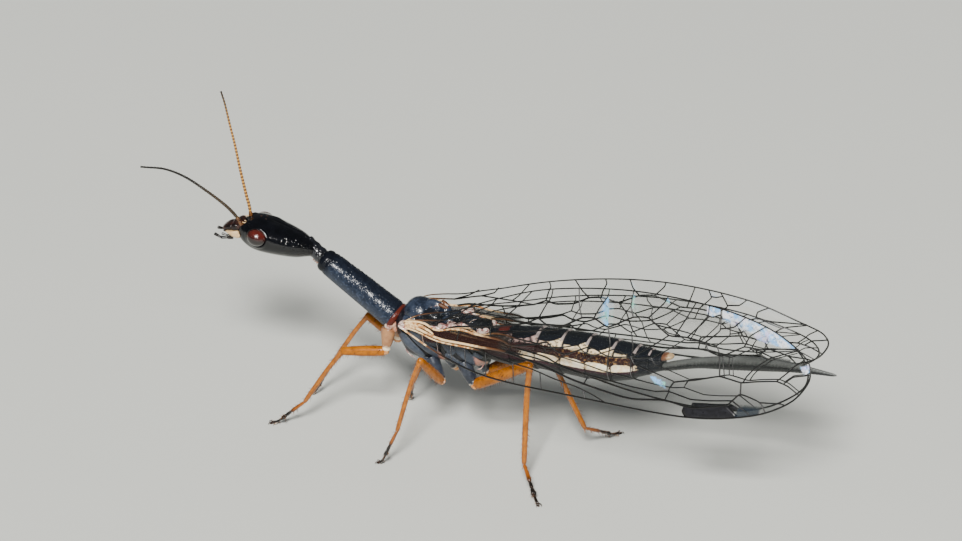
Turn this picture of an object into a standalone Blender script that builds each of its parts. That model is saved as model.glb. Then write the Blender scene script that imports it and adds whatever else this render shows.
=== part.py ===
"""A snakefly, Venustoraphidia nigricollis: a female standing with folded wings, at life size.

Sizes are in millimetres. Stations are measured from the left front toe: X runs back along the
body, Y to the animal's right and Z up from the ground. The head and the prothorax have frames of
their own, and so has each wing: X along it, Y across it and Z through its thickness.
"""

from dataclasses import dataclass
from math import cos, pi, radians, sin

import bmesh
import bpy
from mathutils import Euler, Matrix, Vector

MM = 0.001

# Driving dimensions
GAP = 0.05
MIDDLE_X = 5.073
MIDDLE_Y = -0.162
HEAD_JOINT = (0.65, 0.0, 3.76)
HEAD_TURN = 14.0
HEAD_LIFT = 15.0
PROTHORAX_FRONT = (0.85, 0.0, 3.60)
PROTHORAX_SLOPE = 30.7
EYE_CENTRE = (1.18, 0.43, 0.05)
EYE_RADII = (0.21, 0.18, 0.20)
WING_BASE = (2.95, 0.62, 2.76)
WING_RISE = 6.8
WING_SPREAD = 1.1
WING_ROOF = 65.0
WING_LENGTH = 9.18
RIGHT_WING_SHIFT = (-0.22, -0.04, -0.04)
RIGHT_WING_LENGTH = 9.08
HINDWING_DEPTH = 0.22
MEMBRANE = 0.09
VEIN_RADIUS = 0.085
COSTA_RADIUS = 0.08
BRANCH_RADIUS = 0.075
CROSSVEIN_RADIUS = 0.07
VEIN_INSET = 0.10
FOOT_RADIUS = 0.07
FOOT_HEIGHT = 0.045

BODY_SIDES = 20
HEAD_SIDES = 24
FINE_BEVEL = 3
PLAIN_BEVEL = 2


@dataclass(frozen=True)
class Section:
    """One cross-section of a loft: where its middle lies and how wide and high it reaches."""

    x: float
    z: float
    half_width: float
    half_height: float


@dataclass(frozen=True)
class Leg:
    """The joints of one leg, in stations, and the greatest radius of each length."""

    name: str
    hip: tuple
    trochanter: tuple
    knee: tuple
    ankle: tuple
    toe: tuple
    coxa_radius: float
    femur_radius: float
    tibia_radius: float


HEAD_SECTIONS = (
    Section(0.00, 0.00, 0.19, 0.15),
    Section(0.13, 0.00, 0.25, 0.20),
    Section(0.30, 0.00, 0.33, 0.26),
    Section(0.51, 0.00, 0.40, 0.30),
    Section(0.80, 0.00, 0.46, 0.335),
    Section(1.05, 0.00, 0.48, 0.35),
    Section(1.25, 0.00, 0.45, 0.34),
    Section(1.42, -0.01, 0.36, 0.29),
    Section(1.53, -0.02, 0.27, 0.22),
    Section(1.60, -0.03, 0.20, 0.15),
)
MOUTH_SECTIONS = (
    Section(1.65, -0.04, 0.16, 0.11),
    Section(1.78, -0.06, 0.17, 0.10),
    Section(1.88, -0.09, 0.155, 0.08),
    Section(1.97, -0.13, 0.11, 0.055),
    Section(2.02, -0.16, 0.07, 0.03),
)
PROTHORAX_SECTIONS = (
    Section(0.00, 0.00, 0.19, 0.19),
    Section(0.06, 0.00, 0.25, 0.245),
    Section(0.30, 0.00, 0.27, 0.27),
    Section(0.90, 0.00, 0.28, 0.28),
    Section(1.50, 0.00, 0.30, 0.29),
    Section(1.85, 0.00, 0.32, 0.29),
    Section(1.98, 0.00, 0.29, 0.26),
)
MESOTHORAX_SECTIONS = (
    Section(2.52, 2.42, 0.27, 0.36),
    Section(2.66, 2.45, 0.37, 0.50),
    Section(2.90, 2.46, 0.43, 0.60),
    Section(3.20, 2.46, 0.44, 0.63),
    Section(3.48, 2.44, 0.42, 0.59),
    Section(3.62, 2.42, 0.37, 0.52),
)
METATHORAX_SECTIONS = (
    Section(3.67, 2.42, 0.37, 0.52),
    Section(3.85, 2.42, 0.42, 0.57),
    Section(4.15, 2.42, 0.42, 0.57),
    Section(4.42, 2.44, 0.39, 0.52),
    Section(4.62, 2.46, 0.33, 0.42),
)
ABDOMEN_PROFILE = (
    Section(4.67, 2.48, 0.31, 0.36),
    Section(5.10, 2.54, 0.40, 0.42),
    Section(5.80, 2.62, 0.44, 0.455),
    Section(6.60, 2.66, 0.46, 0.475),
    Section(7.30, 2.68, 0.45, 0.47),
    Section(7.80, 2.74, 0.39, 0.39),
    Section(8.20, 2.83, 0.28, 0.28),
    Section(8.50, 2.90, 0.19, 0.20),
)
ABDOMEN_SEGMENTS = 8
SEGMENT_STEP = 0.022
SEGMENT_SEAM = 0.05
ECTOPROCT_SECTIONS = (
    Section(8.55, 3.03, 0.13, 0.075),
    Section(8.63, 3.035, 0.12, 0.07),
    Section(8.71, 3.05, 0.07, 0.04),
)
OVIPOSITOR_SECTIONS = (
    Section(8.55, 2.79, 0.08, 0.09),
    Section(8.75, 2.86, 0.09, 0.115),
    Section(9.30, 3.04, 0.085, 0.125),
    Section(10.00, 3.19, 0.085, 0.15),
    Section(10.70, 3.31, 0.08, 0.145),
    Section(11.30, 3.38, 0.07, 0.11),
    Section(11.85, 3.40, 0.05, 0.075),
    Section(12.30, 3.41, 0.025, 0.035),
)

LEGS = (
    Leg("front_left", (2.43, -0.20, 2.42), (2.41, -0.30, 1.94), (1.535, -0.50, 1.84),
        (0.76, -0.72, 0.60), (0.02, -0.91, 0.0), 0.125, 0.125, 0.10),
    Leg("mid_left", (3.42, -0.28, 2.02), (3.70, -0.35, 1.55), (3.62, -1.22, 2.41),
        (3.24, -1.52, 0.85), (2.80, -1.54, 0.0), 0.14, 0.125, 0.10),
    Leg("hind_left", (4.14, -0.26, 2.05), (4.43, -0.33, 1.62), (5.81, -0.62, 2.515),
        (5.91, -1.12, 0.50), (6.60, -1.87, 0.0), 0.14, 0.14, 0.10),
    Leg("front_right", (2.43, 0.20, 2.42), (2.41, 0.30, 1.94), (1.47, 0.82, 2.02),
        (0.71, 0.72, 0.82), (0.21, 0.59, 0.0), 0.125, 0.125, 0.10),
    Leg("mid_right", (3.42, 0.28, 2.02), (3.70, 0.35, 1.55), (3.00, 1.00, 1.93),
        (2.49, 0.83, 0.70), (2.14, 1.35, 0.0), 0.14, 0.125, 0.10),
    Leg("hind_right", (4.14, 0.26, 2.05), (4.43, 0.33, 1.62), (5.57, 0.62, 2.43),
        (6.44, 0.70, 0.574), (6.80, 1.83, 0.0), 0.14, 0.14, 0.10),
)

# Each feeler's way from its socket to its tip, in stations
FEELERS = {
    "left": ((-0.72, -0.50, 4.20), (-0.84, -0.54, 4.42), (-0.98, -0.79, 4.78), (-1.25, -1.16, 5.24),
             (-1.52, -1.52, 5.64), (-1.81, -1.84, 5.90), (-2.13, -2.15, 6.02)),
    "right": ((-0.74, -0.27, 4.18), (-0.75, -0.24, 4.50), (-0.84, -0.17, 4.79), (-1.01, -0.02, 5.23),
              (-1.20, 0.13, 5.69), (-1.37, 0.25, 6.06), (-1.54, 0.38, 6.43), (-1.64, 0.44, 6.62)),
}
SCAPE_LENGTH = 0.32
FLAGELLUM_SPLIT = 1.45
SCAPE_RADIUS = 0.075
FLAGELLUM_RADIUS = 0.06
FEELER_TIP_RADIUS = 0.035

# Each outline runs from the base to the tip by the costal margin, then back by the hind margin
FOREWING_COSTA = ((0.00, -0.06), (1.00, -0.53), (2.10, -0.85), (3.90, -1.03), (6.40, -1.21),
                  (7.85, -1.07), (8.68, -0.75), (9.09, -0.36), (9.18, -0.04))
FOREWING_HIND = ((9.00, 0.29), (8.10, 0.79), (6.80, 1.10), (5.00, 1.23), (3.20, 1.08),
                 (1.70, 0.70), (0.60, 0.20), (0.00, 0.11))
HINDWING_COSTA = ((0.98, -0.02), (2.95, -0.27), (3.60, -0.46), (5.20, -0.82), (6.80, -1.00),
                  (8.00, -0.90), (8.85, -0.48), (9.05, -0.10))
HINDWING_HIND = ((8.80, 0.31), (8.20, 0.60), (7.00, 0.86), (5.20, 0.96), (3.60, 0.88),
                 (2.20, 0.60), (1.40, 0.32), (0.98, 0.14))
OUTLINE_STEPS = 2
FLAT_ANGLE = 0.05

VEINS = {
    "subcosta": ((0.15, -0.04), (0.80, -0.22), (1.60, -0.30), (2.30, -0.44), (3.80, -0.78), (4.70, -1.00)),
    "radius": ((0.15, 0.02), (0.50, -0.03), (1.00, -0.14), (2.30, -0.28), (4.00, -0.70), (4.75, -0.87),
               (5.40, -0.95), (6.03, -0.91), (6.60, -1.00), (7.40, -0.87), (7.68, -0.63), (8.12, -0.75),
               (8.23, -0.86)),
    "sector": ((2.30, -0.28), (3.60, -0.43), (4.30, -0.57), (5.20, -0.70), (6.10, -0.70), (6.60, -0.82),
               (7.45, -0.77)),
    "media": ((0.50, 0.06), (1.60, 0.00), (2.40, -0.13), (3.00, -0.07), (3.72, -0.20), (4.70, -0.17),
              (5.30, -0.25), (5.75, -0.40), (6.12, -0.65), (7.30, -0.33), (7.67, -0.39), (8.45, -0.29),
              (8.90, -0.38)),
    "cubitus": ((0.50, 0.06), (1.40, 0.12), (2.75, 0.33), (3.06, 0.47), (3.65, 0.38), (4.03, 0.57),
                (4.30, 0.59), (4.62, 0.44), (5.15, 0.70), (5.50, 0.73), (5.98, 0.41), (6.83, 0.33),
                (7.20, 0.13), (7.68, 0.33), (8.40, 0.52)),
    "anal": ((0.20, 0.08), (0.90, 0.22), (1.60, 0.45), (2.50, 0.62), (2.75, 0.33)),
}
# Where a branch leaves the cubitus and where it meets the hind margin, along the wing
BRANCHES = ((2.55, 2.95), (3.06, 3.35), (4.03, 3.88), (4.30, 4.55), (5.15, 5.12), (5.50, 5.88),
            (6.15, 6.53), (6.45, 6.85), (6.83, 7.20), (7.25, 7.72), (7.68, 8.12), (8.20, 8.50))
# A cross-vein joins one vein at a length to another vein at a length
CROSSVEINS = (("radius", 4.20, "sector", 4.30), ("radius", 6.03, "sector", 6.10),
              ("sector", 6.10, "media", 6.12), ("radius", 7.45, "sector", 7.45),
              ("radius", 7.68, "media", 7.67), ("media", 4.70, "cubitus", 4.62),
              ("media", 3.72, "cubitus", 3.65), ("media", 5.30, "cubitus", 5.98),
              ("media", 7.28, "cubitus", 7.20), ("media", 8.45, "cubitus", 8.30),
              ("sector", 3.60, "media", 3.72), ("sector", 5.20, "media", 5.30))
COSTAL_CROSSVEINS = (0.75, 1.30, 1.93, 2.58, 3.20, 3.85)
PTEROSTIGMA = ((6.50, -1.02), (7.40, -0.88), (7.55, -0.98), (7.42, -1.08), (6.50, -1.15))
PTEROSTIGMA_THICKNESS = 0.15
HINDWING_START = 0.98
HINDWING_STRETCH = 0.879
HINDWING_NARROWING = 0.86
WING_ROOT_RADII = (0.17, 0.16, 0.12)
FOREWING_ROOT = (2.83, 0.48, 2.72)
HINDWING_ROOT = (3.82, 0.36, 2.70)


def material(name, colour, roughness, alpha=1.0):
    """Returns a plain surface for one kind of sub-part."""
    made = bpy.data.materials.new(name)
    made.use_nodes = True
    surface = made.node_tree.nodes["Principled BSDF"]
    surface.inputs["Base Color"].default_value = (*colour, 1.0)
    surface.inputs["Roughness"].default_value = roughness
    surface.inputs["Metallic"].default_value = 0.0
    surface.inputs["Alpha"].default_value = alpha
    return made


def collection(name):
    """Returns a new collection in the scene."""
    made = bpy.data.collections.new(name)
    bpy.context.scene.collection.children.link(made)
    return made


def clear_scene():
    """Removes every object of the open file."""
    for thing in list(bpy.data.objects):
        bpy.data.objects.remove(thing, do_unlink=True)


def frame(name, location, rotation, parent=None):
    """Returns an empty that carries sub-parts in a frame of their own."""
    made = bpy.data.objects.new(name, None)
    made.location = Vector(location) * MM
    made.rotation_euler = rotation
    made.empty_display_size = MM
    made.parent = parent
    PARTS.objects.link(made)
    return made


def add_object(name, data, parent, surface):
    """Links a mesh or curve as an object under its frame."""
    made = bpy.data.objects.new(name, data)
    made.parent = parent
    data.materials.append(surface)
    PARTS.objects.link(made)
    return made


def evaluated_mesh(thing, weld=0.0002):
    """Returns a copy of an object's mesh with its modifiers applied and its seams welded."""
    bpy.context.view_layer.update()
    graph = bpy.context.evaluated_depsgraph_get()
    mesh = bpy.data.meshes.new_from_object(thing.evaluated_get(graph))
    shape = bmesh.new()
    shape.from_mesh(mesh)
    bmesh.ops.remove_doubles(shape, verts=shape.verts, dist=weld * MM)
    shape.to_mesh(mesh)
    shape.free()
    return mesh


def keep_largest(mesh):
    """Deletes every closed surface of the mesh but the one with the largest box."""
    shape = bmesh.new()
    shape.from_mesh(mesh)
    shape.verts.ensure_lookup_table()
    left = set(shape.verts)
    groups = []
    while left:
        group = {left.pop()}
        border = set(group)
        while border:
            reached = {edge.other_vert(vert) for vert in border for edge in vert.link_edges}
            border = reached & left
            left -= border
            group |= border
        groups.append(group)
    groups.sort(key=box_size, reverse=True)
    spare = [vert for group in groups[1:] for vert in group]
    bmesh.ops.delete(shape, geom=spare, context="VERTS")
    shape.to_mesh(mesh)
    shape.free()


def box_size(verts):
    """Returns the diagonal of the box round some vertices."""
    sides = [[vert.co[axis] for vert in verts] for axis in range(3)]
    return Vector([max(side) - min(side) for side in sides]).length


def combine(target, operation, operands, solver="EXACT"):
    """Joins to an object, or cuts from it, a list of closed objects, and applies the result."""
    group = bpy.data.collections.new(target.name + " operands")
    bpy.context.scene.collection.children.link(group)
    for operand in operands:
        group.objects.link(operand)
    modifier = target.modifiers.new("Combine", "BOOLEAN")
    modifier.operation = operation
    modifier.operand_type = "COLLECTION"
    modifier.collection = group
    modifier.solver = solver
    mesh = evaluated_mesh(target, 0.0002 if solver == "EXACT" else 0.0)
    keep_largest(mesh)
    target.modifiers.clear()
    target.data = mesh
    bpy.data.collections.remove(group)
    return target


def fuse(target, pieces, solver="EXACT"):
    """Joins loose pieces to an object for good."""
    combine(target, "UNION", pieces, solver)
    for piece in pieces:
        bpy.data.objects.remove(piece, do_unlink=True)
    return target


def cutter(thing):
    """Marks an object as a cutting tool that is no sub-part itself."""
    PARTS.objects.unlink(thing)
    CUTTERS.objects.link(thing)
    thing.hide_render = True
    thing.display_type = "WIRE"
    return thing


def shade(thing, angle=40.0):
    """Shades an object smooth, but for edges sharper than the angle."""
    thing.data.shade_smooth()
    thing.data.set_sharp_from_angle(angle=radians(angle))
    return thing


def loft(name, sections, parent, surface, sides=BODY_SIDES, grow=0.0):
    """Returns a closed body through oval sections that stand square to the frame's X axis."""
    shape = bmesh.new()
    rings = []
    for index, section in enumerate(sections):
        end_shift = {0: -grow, len(sections) - 1: grow}.get(index, 0.0)
        ring = []
        for step in range(sides):
            turn = 2 * pi * step / sides
            across = (section.half_width + grow) * cos(turn)
            above = section.z + (section.half_height + grow) * sin(turn)
            ring.append(shape.verts.new(Vector((section.x + end_shift, across, above)) * MM))
        rings.append(ring)
    for ring, following in zip(rings, rings[1:]):
        for step in range(sides):
            after = (step + 1) % sides
            shape.faces.new((ring[step], ring[after], following[after], following[step]))
    shape.faces.new(rings[0])
    shape.faces.new(rings[-1])
    bmesh.ops.recalc_face_normals(shape, faces=shape.faces)
    mesh = bpy.data.meshes.new(name)
    shape.to_mesh(mesh)
    shape.free()
    return shade(add_object(name, mesh, parent, surface))


def ball(name, centre, radii, parent, surface, segments=16, rings=10):
    """Returns an ellipsoid with its poles up and down."""
    shape = bmesh.new()
    matrix = Matrix.Translation(Vector(centre) * MM) @ Matrix.Diagonal((*(Vector(radii) * MM), 1.0))
    bmesh.ops.create_uvsphere(shape, u_segments=segments, v_segments=rings, radius=1.0, matrix=matrix)
    mesh = bpy.data.meshes.new(name)
    shape.to_mesh(mesh)
    shape.free()
    return shade(add_object(name, mesh, parent, surface))


def spline(points, steps):
    """Returns a smooth way through the points, with some steps from each to the next."""
    points = [Vector(point) for point in points]
    ends = [points[0] * 2 - points[1]] + points + [points[-1] * 2 - points[-2]]
    way = []
    for before, start, stop, after in zip(ends, ends[1:], ends[2:], ends[3:]):
        for step in range(steps):
            t = step / steps
            way.append(0.5 * (2 * start + (stop - before) * t
                              + (2 * before - 5 * start + 4 * stop - after) * t * t
                              + (3 * start - before - 3 * stop + after) * t * t * t))
    way.append(points[-1])
    return way


def stretch(way, start, stop, step):
    """Returns the stretch of a way between two lengths along it, with points evenly apart."""
    lengths = [0.0]
    for before, after in zip(way, way[1:]):
        lengths.append(lengths[-1] + (after - before).length)
    stop = min(stop, lengths[-1])
    count = max(2, round((stop - start) / step))
    points = []
    for number in range(count + 1):
        wanted = start + (stop - start) * number / count
        index = next(i for i in range(1, len(way)) if lengths[i] >= wanted - 1e-9)
        share = (wanted - lengths[index - 1]) / (lengths[index] - lengths[index - 1])
        points.append(way[index - 1].lerp(way[index], share))
    return points


def tube(name, points, radii, parent, surface, bevel=PLAIN_BEVEL):
    """Returns a round closed tube along the points, with its own radius at each."""
    curve = bpy.data.curves.new(name, "CURVE")
    curve.dimensions = "3D"
    curve.bevel_depth = MM
    curve.bevel_resolution = bevel
    curve.use_fill_caps = True
    way = curve.splines.new("POLY")
    way.points.add(len(points) - 1)
    for slot, point, radius in zip(way.points, points, radii):
        slot.co = (*(Vector(point) * MM), 1.0)
        slot.radius = radius
    made = add_object(name, curve, parent, surface)
    mesh = evaluated_mesh(made)
    bpy.data.objects.remove(made, do_unlink=True)
    mesh.name = name
    solid = bpy.data.objects.new(name, mesh)
    solid.parent = parent
    PARTS.objects.link(solid)
    return shade(solid)


def plate(name, outline, thickness, parent, surface):
    """Returns a flat plate of the outline, with half its thickness to each side of its frame."""
    curve = bpy.data.curves.new(name, "CURVE")
    curve.dimensions = "2D"
    curve.fill_mode = "BOTH"
    curve.extrude = thickness / 2 * MM
    edge = curve.splines.new("POLY")
    edge.points.add(len(outline) - 1)
    edge.use_cyclic_u = True
    for slot, (x, y) in zip(edge.points, outline):
        slot.co = (x * MM, y * MM, 0.0, 1.0)
    made = add_object(name, curve, parent, surface)
    mesh = evaluated_mesh(made)
    bpy.data.objects.remove(made, do_unlink=True)
    mesh.name = name
    solid = bpy.data.objects.new(name, mesh)
    solid.parent = parent
    PARTS.objects.link(solid)
    return solid


def box(name, low, high, parent, surface):
    """Returns a box between two corners."""
    shape = bmesh.new()
    low, high = Vector(low) * MM, Vector(high) * MM
    middle = Matrix.Translation((low + high) / 2)
    bmesh.ops.create_cube(shape, size=1.0, matrix=middle @ Matrix.Diagonal((*(high - low), 1.0)))
    mesh = bpy.data.meshes.new(name)
    shape.to_mesh(mesh)
    shape.free()
    return add_object(name, mesh, parent, surface)


def taper(count, start, middle, end, peak=0.35):
    """Returns radii that rise from the start to the middle one and fall to the end one."""
    radii = []
    for number in range(count):
        share = number / (count - 1)
        if share < peak:
            radii.append(start + (middle - start) * sin(pi / 2 * share / peak))
        else:
            radii.append(end + (middle - end) * cos(pi / 2 * (share - peak) / (1 - peak)))
    return radii


def round_end(points, radii, radius):
    """Closes a tube's way in a ball of the radius about its last point."""
    end = points[-1]
    heading = (end - points[-2]).normalized()
    kept = [(p, r) for p, r in zip(points[:-1], radii[:-1]) if (end - p).length > radius]
    kept.append((end - heading * radius * 0.6, max(radius * 0.8, kept[-1][1] * 0.9)))
    kept.append((end, radius))
    kept.append((end + heading * radius * 0.6, radius * 0.8))
    kept.append((end + heading * radius * 0.95, radius * 0.3))
    return [p for p, r in kept], [r for p, r in kept]


def limb(name, points, radii, surface, bevel, clearances):
    """Makes one length of a leg clear of what it grows from, and returns its own clearance."""
    solid = tube(name, points, radii, ANIMAL, surface, bevel)
    combine(solid, "DIFFERENCE", clearances)
    heading = (points[-1] - points[-2]).normalized()
    grown_points = points + [points[-1] + heading * GAP]
    grown_radii = [radius + GAP for radius in radii + [radii[-1]]]
    return cutter(tube(name + "_clearance", grown_points, grown_radii, ANIMAL, surface, bevel))


def head_parts():
    """Makes the head capsule, the mouthparts and the eyes."""
    head = loft("head", HEAD_SECTIONS, HEAD, SURFACE["black"], HEAD_SIDES)
    grown_eye = [radius + GAP for radius in EYE_RADII]
    for side, sign in (("left", 1), ("right", -1)):
        centre = (EYE_CENTRE[0], sign * EYE_CENTRE[1], EYE_CENTRE[2])
        ball("eye_" + side, centre, EYE_RADII, HEAD, SURFACE["eye"])
        socket = cutter(ball("eye_socket_" + side, centre, grown_eye, HEAD, SURFACE["eye"]))
        combine(head, "DIFFERENCE", [socket])
    grown = cutter(loft("head_clearance", HEAD_SECTIONS, HEAD, SURFACE["black"], HEAD_SIDES, GAP))
    loft("mouth", MOUTH_SECTIONS, HEAD, SURFACE["brown"], 16)
    for side, sign in (("left", 1), ("right", -1)):
        way = spline(((1.42, sign * 0.13, -0.24), (1.66, sign * 0.11, -0.29), (1.93, sign * 0.06, -0.28)), 3)
        jaw = tube("mandible_" + side, way, taper(len(way), 0.065, 0.06, 0.03), HEAD, SURFACE["cream"])
        combine(jaw, "DIFFERENCE", [grown])
        way = spline(((1.50, sign * 0.26, -0.22), (1.80, sign * 0.27, -0.28), (2.08, sign * 0.22, -0.24),
                      (2.26, sign * 0.14, -0.33)), 3)
        palp = tube("palp_" + side, way, taper(len(way), 0.05, 0.05, 0.035), HEAD, SURFACE["black"])
        combine(palp, "DIFFERENCE", [grown])
    return grown


def feeler(side, grown_head):
    """Makes a feeler in three lengths along one way: scape, inner and outer flagellum."""
    way = spline(FEELERS[side], 6)
    whole = sum((after - before).length for before, after in zip(way, way[1:]))
    lengths = (("scape", 0.0, SCAPE_LENGTH), ("flagellum_inner", SCAPE_LENGTH + GAP, FLAGELLUM_SPLIT),
               ("flagellum_outer", FLAGELLUM_SPLIT + GAP, whole))
    for part, start, stop in lengths:
        points = stretch(way, start, stop, 0.16)
        radii = []
        for number in range(len(points)):
            along = start + (stop - start) * number / (len(points) - 1)
            radii.append(FLAGELLUM_RADIUS + (FEELER_TIP_RADIUS - FLAGELLUM_RADIUS) * along / whole)
        if part == "scape":
            radii = [SCAPE_RADIUS] * len(points)
        solid = tube("antenna_" + side + "_" + part, points, radii, ANIMAL, SURFACE["feeler"])
        if part == "scape":
            combine(solid, "DIFFERENCE", [grown_head])


def trunk():
    """Makes the neck, the three rings of the thorax, the abdomen and the ovipositor."""
    loft("prothorax", PROTHORAX_SECTIONS, PROTHORAX, SURFACE["slate"])
    grown = cutter(loft("prothorax_clearance", PROTHORAX_SECTIONS, PROTHORAX, SURFACE["slate"], grow=GAP))
    mesothorax = loft("mesothorax", MESOTHORAX_SECTIONS, ANIMAL, SURFACE["slate"])
    metathorax = loft("metathorax", METATHORAX_SECTIONS, ANIMAL, SURFACE["slate"])
    combine(mesothorax, "DIFFERENCE", [grown])
    loft("abdomen", abdomen_sections(), ANIMAL, SURFACE["abdomen"])
    loft("ectoproct", ECTOPROCT_SECTIONS, ANIMAL, SURFACE["tan"], 12)
    loft("ovipositor", OVIPOSITOR_SECTIONS, ANIMAL, SURFACE["grey"], 10)
    return grown, mesothorax, metathorax


def neck(grown_head, grown_prothorax):
    """Makes the short neck between the head and the prothorax."""
    points = [Vector((0.50, 0.02, 3.86)), Vector((0.75, 0.0, 3.68)), Vector((1.00, 0.0, 3.51))]
    solid = tube("neck", points, [0.15, 0.15, 0.15], ANIMAL, SURFACE["black"], FINE_BEVEL)
    combine(solid, "DIFFERENCE", [grown_head, grown_prothorax])


def profile_at(profile, x):
    """Returns the section of a profile at a station between its own."""
    for before, after in zip(profile, profile[1:]):
        if x <= after.x:
            t = (x - before.x) / (after.x - before.x)
            mixed = [a + (b - a) * t for a, b in zip(
                (before.z, before.half_width, before.half_height),
                (after.z, after.half_width, after.half_height))]
            return Section(x, *mixed)
    return profile[-1]


def abdomen_sections():
    """Returns the abdomen's sections: each ring swells a little and laps over the next."""
    start, stop = ABDOMEN_PROFILE[0].x, ABDOMEN_PROFILE[-1].x
    length = (stop - start) / ABDOMEN_SEGMENTS
    sections = []
    for number in range(ABDOMEN_SEGMENTS):
        front = start + number * length
        for x, step in ((front, -SEGMENT_STEP), (front + length - SEGMENT_SEAM, 0.0)):
            plain = profile_at(ABDOMEN_PROFILE, x)
            sections.append(Section(x, plain.z, plain.half_width + step, plain.half_height + step))
    sections.append(ABDOMEN_PROFILE[-1])
    return sections


def leg_parts(leg, body_clearances):
    """Makes one leg: coxa, femur, tibia and a tarsus whose last joints lie flat on the ground."""
    hip, trochanter, knee, ankle, toe = (
        Vector(joint) for joint in (leg.hip, leg.trochanter, leg.knee, leg.ankle, leg.toe))
    points, radii = round_end([hip, hip.lerp(trochanter, 0.5), trochanter],
                              [leg.coxa_radius, leg.coxa_radius, 0.12], 0.11)
    coxa = limb("coxa_" + leg.name, points, radii, SURFACE["coxa"], FINE_BEVEL, body_clearances)

    points = [trochanter.lerp(knee, step / 6) for step in range(7)]
    points, radii = round_end(points, taper(7, 0.10, leg.femur_radius, 0.10, 0.45), 0.11)
    femur = limb("femur_" + leg.name, points, radii, SURFACE["leg"], FINE_BEVEL, [coxa])

    points = [knee.lerp(ankle, step / 5) for step in range(6)]
    points, radii = round_end(points, taper(6, 0.09, leg.tibia_radius, 0.085, 0.5), 0.09)
    tibia = limb("tibia_" + leg.name, points, radii, SURFACE["leg"], PLAIN_BEVEL, [femur])

    rest = Vector((toe.x, toe.y, FOOT_HEIGHT))
    points = spline((ankle, ankle.lerp(rest, 0.42) - Vector((0, 0, ankle.z * 0.14)),
                     Vector((*ankle.lerp(rest, 0.72).xy, FOOT_HEIGHT)), rest), 3)
    radii = taper(len(points), 0.07, 0.08, FOOT_RADIUS)
    limb("tarsus_" + leg.name, points, radii, SURFACE["foot"], PLAIN_BEVEL, [tibia, GROUND])


def wing_matrix(side, lift):
    """Returns where a wing lies: its frame, moved inwards from the forewing's by the lift."""
    sign = -1 if side == "left" else 1
    rise, spread, roof = (radians(angle) for angle in (WING_RISE, WING_SPREAD, WING_ROOF))
    along = Vector((cos(rise) * cos(spread), sign * sin(spread), sin(rise)))
    across = Vector((0.0, -sign * cos(roof), sin(roof)))
    across = (across - along * across.dot(along)).normalized()
    outward = along.cross(across)
    base = Vector((WING_BASE[0], sign * WING_BASE[1], WING_BASE[2]))
    base += Vector(RIGHT_WING_SHIFT) * (side == "right")
    inward = outward if sign > 0 else -outward
    base += inward * lift
    return Matrix.Translation(base * MM) @ Matrix((along, across, outward)).transposed().to_4x4()


def height_at(way, x):
    """Returns how far across the wing a vein or margin lies at a length along it."""
    way = sorted(way)
    for before, after in zip(way, way[1:]):
        if x <= after[0]:
            return before[1] + (after[1] - before[1]) * (x - before[0]) / (after[0] - before[0])
    return way[-1][1]


def forewing_veins():
    """Returns the ways and radii of all the veins: long ones, margin, branches and cross-veins."""
    ways = [(way, VEIN_RADIUS) for way in VEINS.values()]
    ways.append(([(x, y + VEIN_INSET) for x, y in FOREWING_COSTA[1:-1]], COSTA_RADIUS))
    for start, stop in BRANCHES:
        fork = (start, height_at(VEINS["cubitus"], start))
        ways.append(((fork, (stop, height_at(FOREWING_HIND, stop) - VEIN_INSET)), BRANCH_RADIUS))
    for first, start, second, stop in CROSSVEINS:
        ends = ((start, height_at(VEINS[first], start)), (stop, height_at(VEINS[second], stop)))
        ways.append((ends, CROSSVEIN_RADIUS))
    for x in COSTAL_CROSSVEINS:
        ends = ((x, height_at(VEINS["subcosta"], x)), (x, height_at(FOREWING_COSTA, x) + VEIN_INSET))
        ways.append((ends, CROSSVEIN_RADIUS))
    return ways


def hindwing_veins():
    """Returns the hindwing's fewer veins, drawn in from the forewing's pattern."""
    ways = [(VEINS[name], VEIN_RADIUS) for name in ("radius", "sector", "media", "cubitus")]
    for start, stop in BRANCHES[1::2]:
        fork = (start, height_at(VEINS["cubitus"], start))
        ways.append(((fork, (stop, height_at(FOREWING_HIND, stop) - VEIN_INSET)), BRANCH_RADIUS))
    return [([(HINDWING_START + x * HINDWING_STRETCH, y * HINDWING_NARROWING) for x, y in way], radius)
            for way, radius in ways]


def merge_flats(thing):
    """Joins the triangles that a union leaves on one flat and splits the faces again, fewer."""
    shape = bmesh.new()
    shape.from_mesh(thing.data)
    bmesh.ops.dissolve_limit(shape, angle_limit=radians(FLAT_ANGLE), verts=shape.verts, edges=shape.edges)
    bmesh.ops.triangulate(shape, faces=shape.faces)
    shape.to_mesh(thing.data)
    shape.free()
    return thing


def wing(name, side, lift, margins, ways):
    """Makes one wing: a membrane of its outline with its veins as ridges on both faces."""
    carrier = frame(name + "_frame", (0, 0, 0), (0, 0, 0), ANIMAL)
    carrier.matrix_local = wing_matrix(side, lift)
    scale = RIGHT_WING_LENGTH / WING_LENGTH if side == "right" else 1.0
    outline = [(point.x * scale, point.y) for margin in margins
               for point in spline([(x, y, 0.0) for x, y in margin], OUTLINE_STEPS)]
    membrane = plate(name, outline, MEMBRANE, carrier, SURFACE["wing"])
    ridges = []
    for number, (way, radius) in enumerate(ways):
        points = [(x * scale, y, 0.0) for x, y in way]
        radii = [radius] * len(points)
        ridges.append(tube(f"{name}_vein_{number}", points, radii, carrier, SURFACE["wing"], 0))
    if name.startswith("forewing"):
        spot = [(x * scale, y) for x, y in PTEROSTIGMA]
        ridges.append(plate(name + "_pterostigma", spot, PTEROSTIGMA_THICKNESS, carrier, SURFACE["wing"]))
    return merge_flats(fuse(membrane, ridges))


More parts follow.
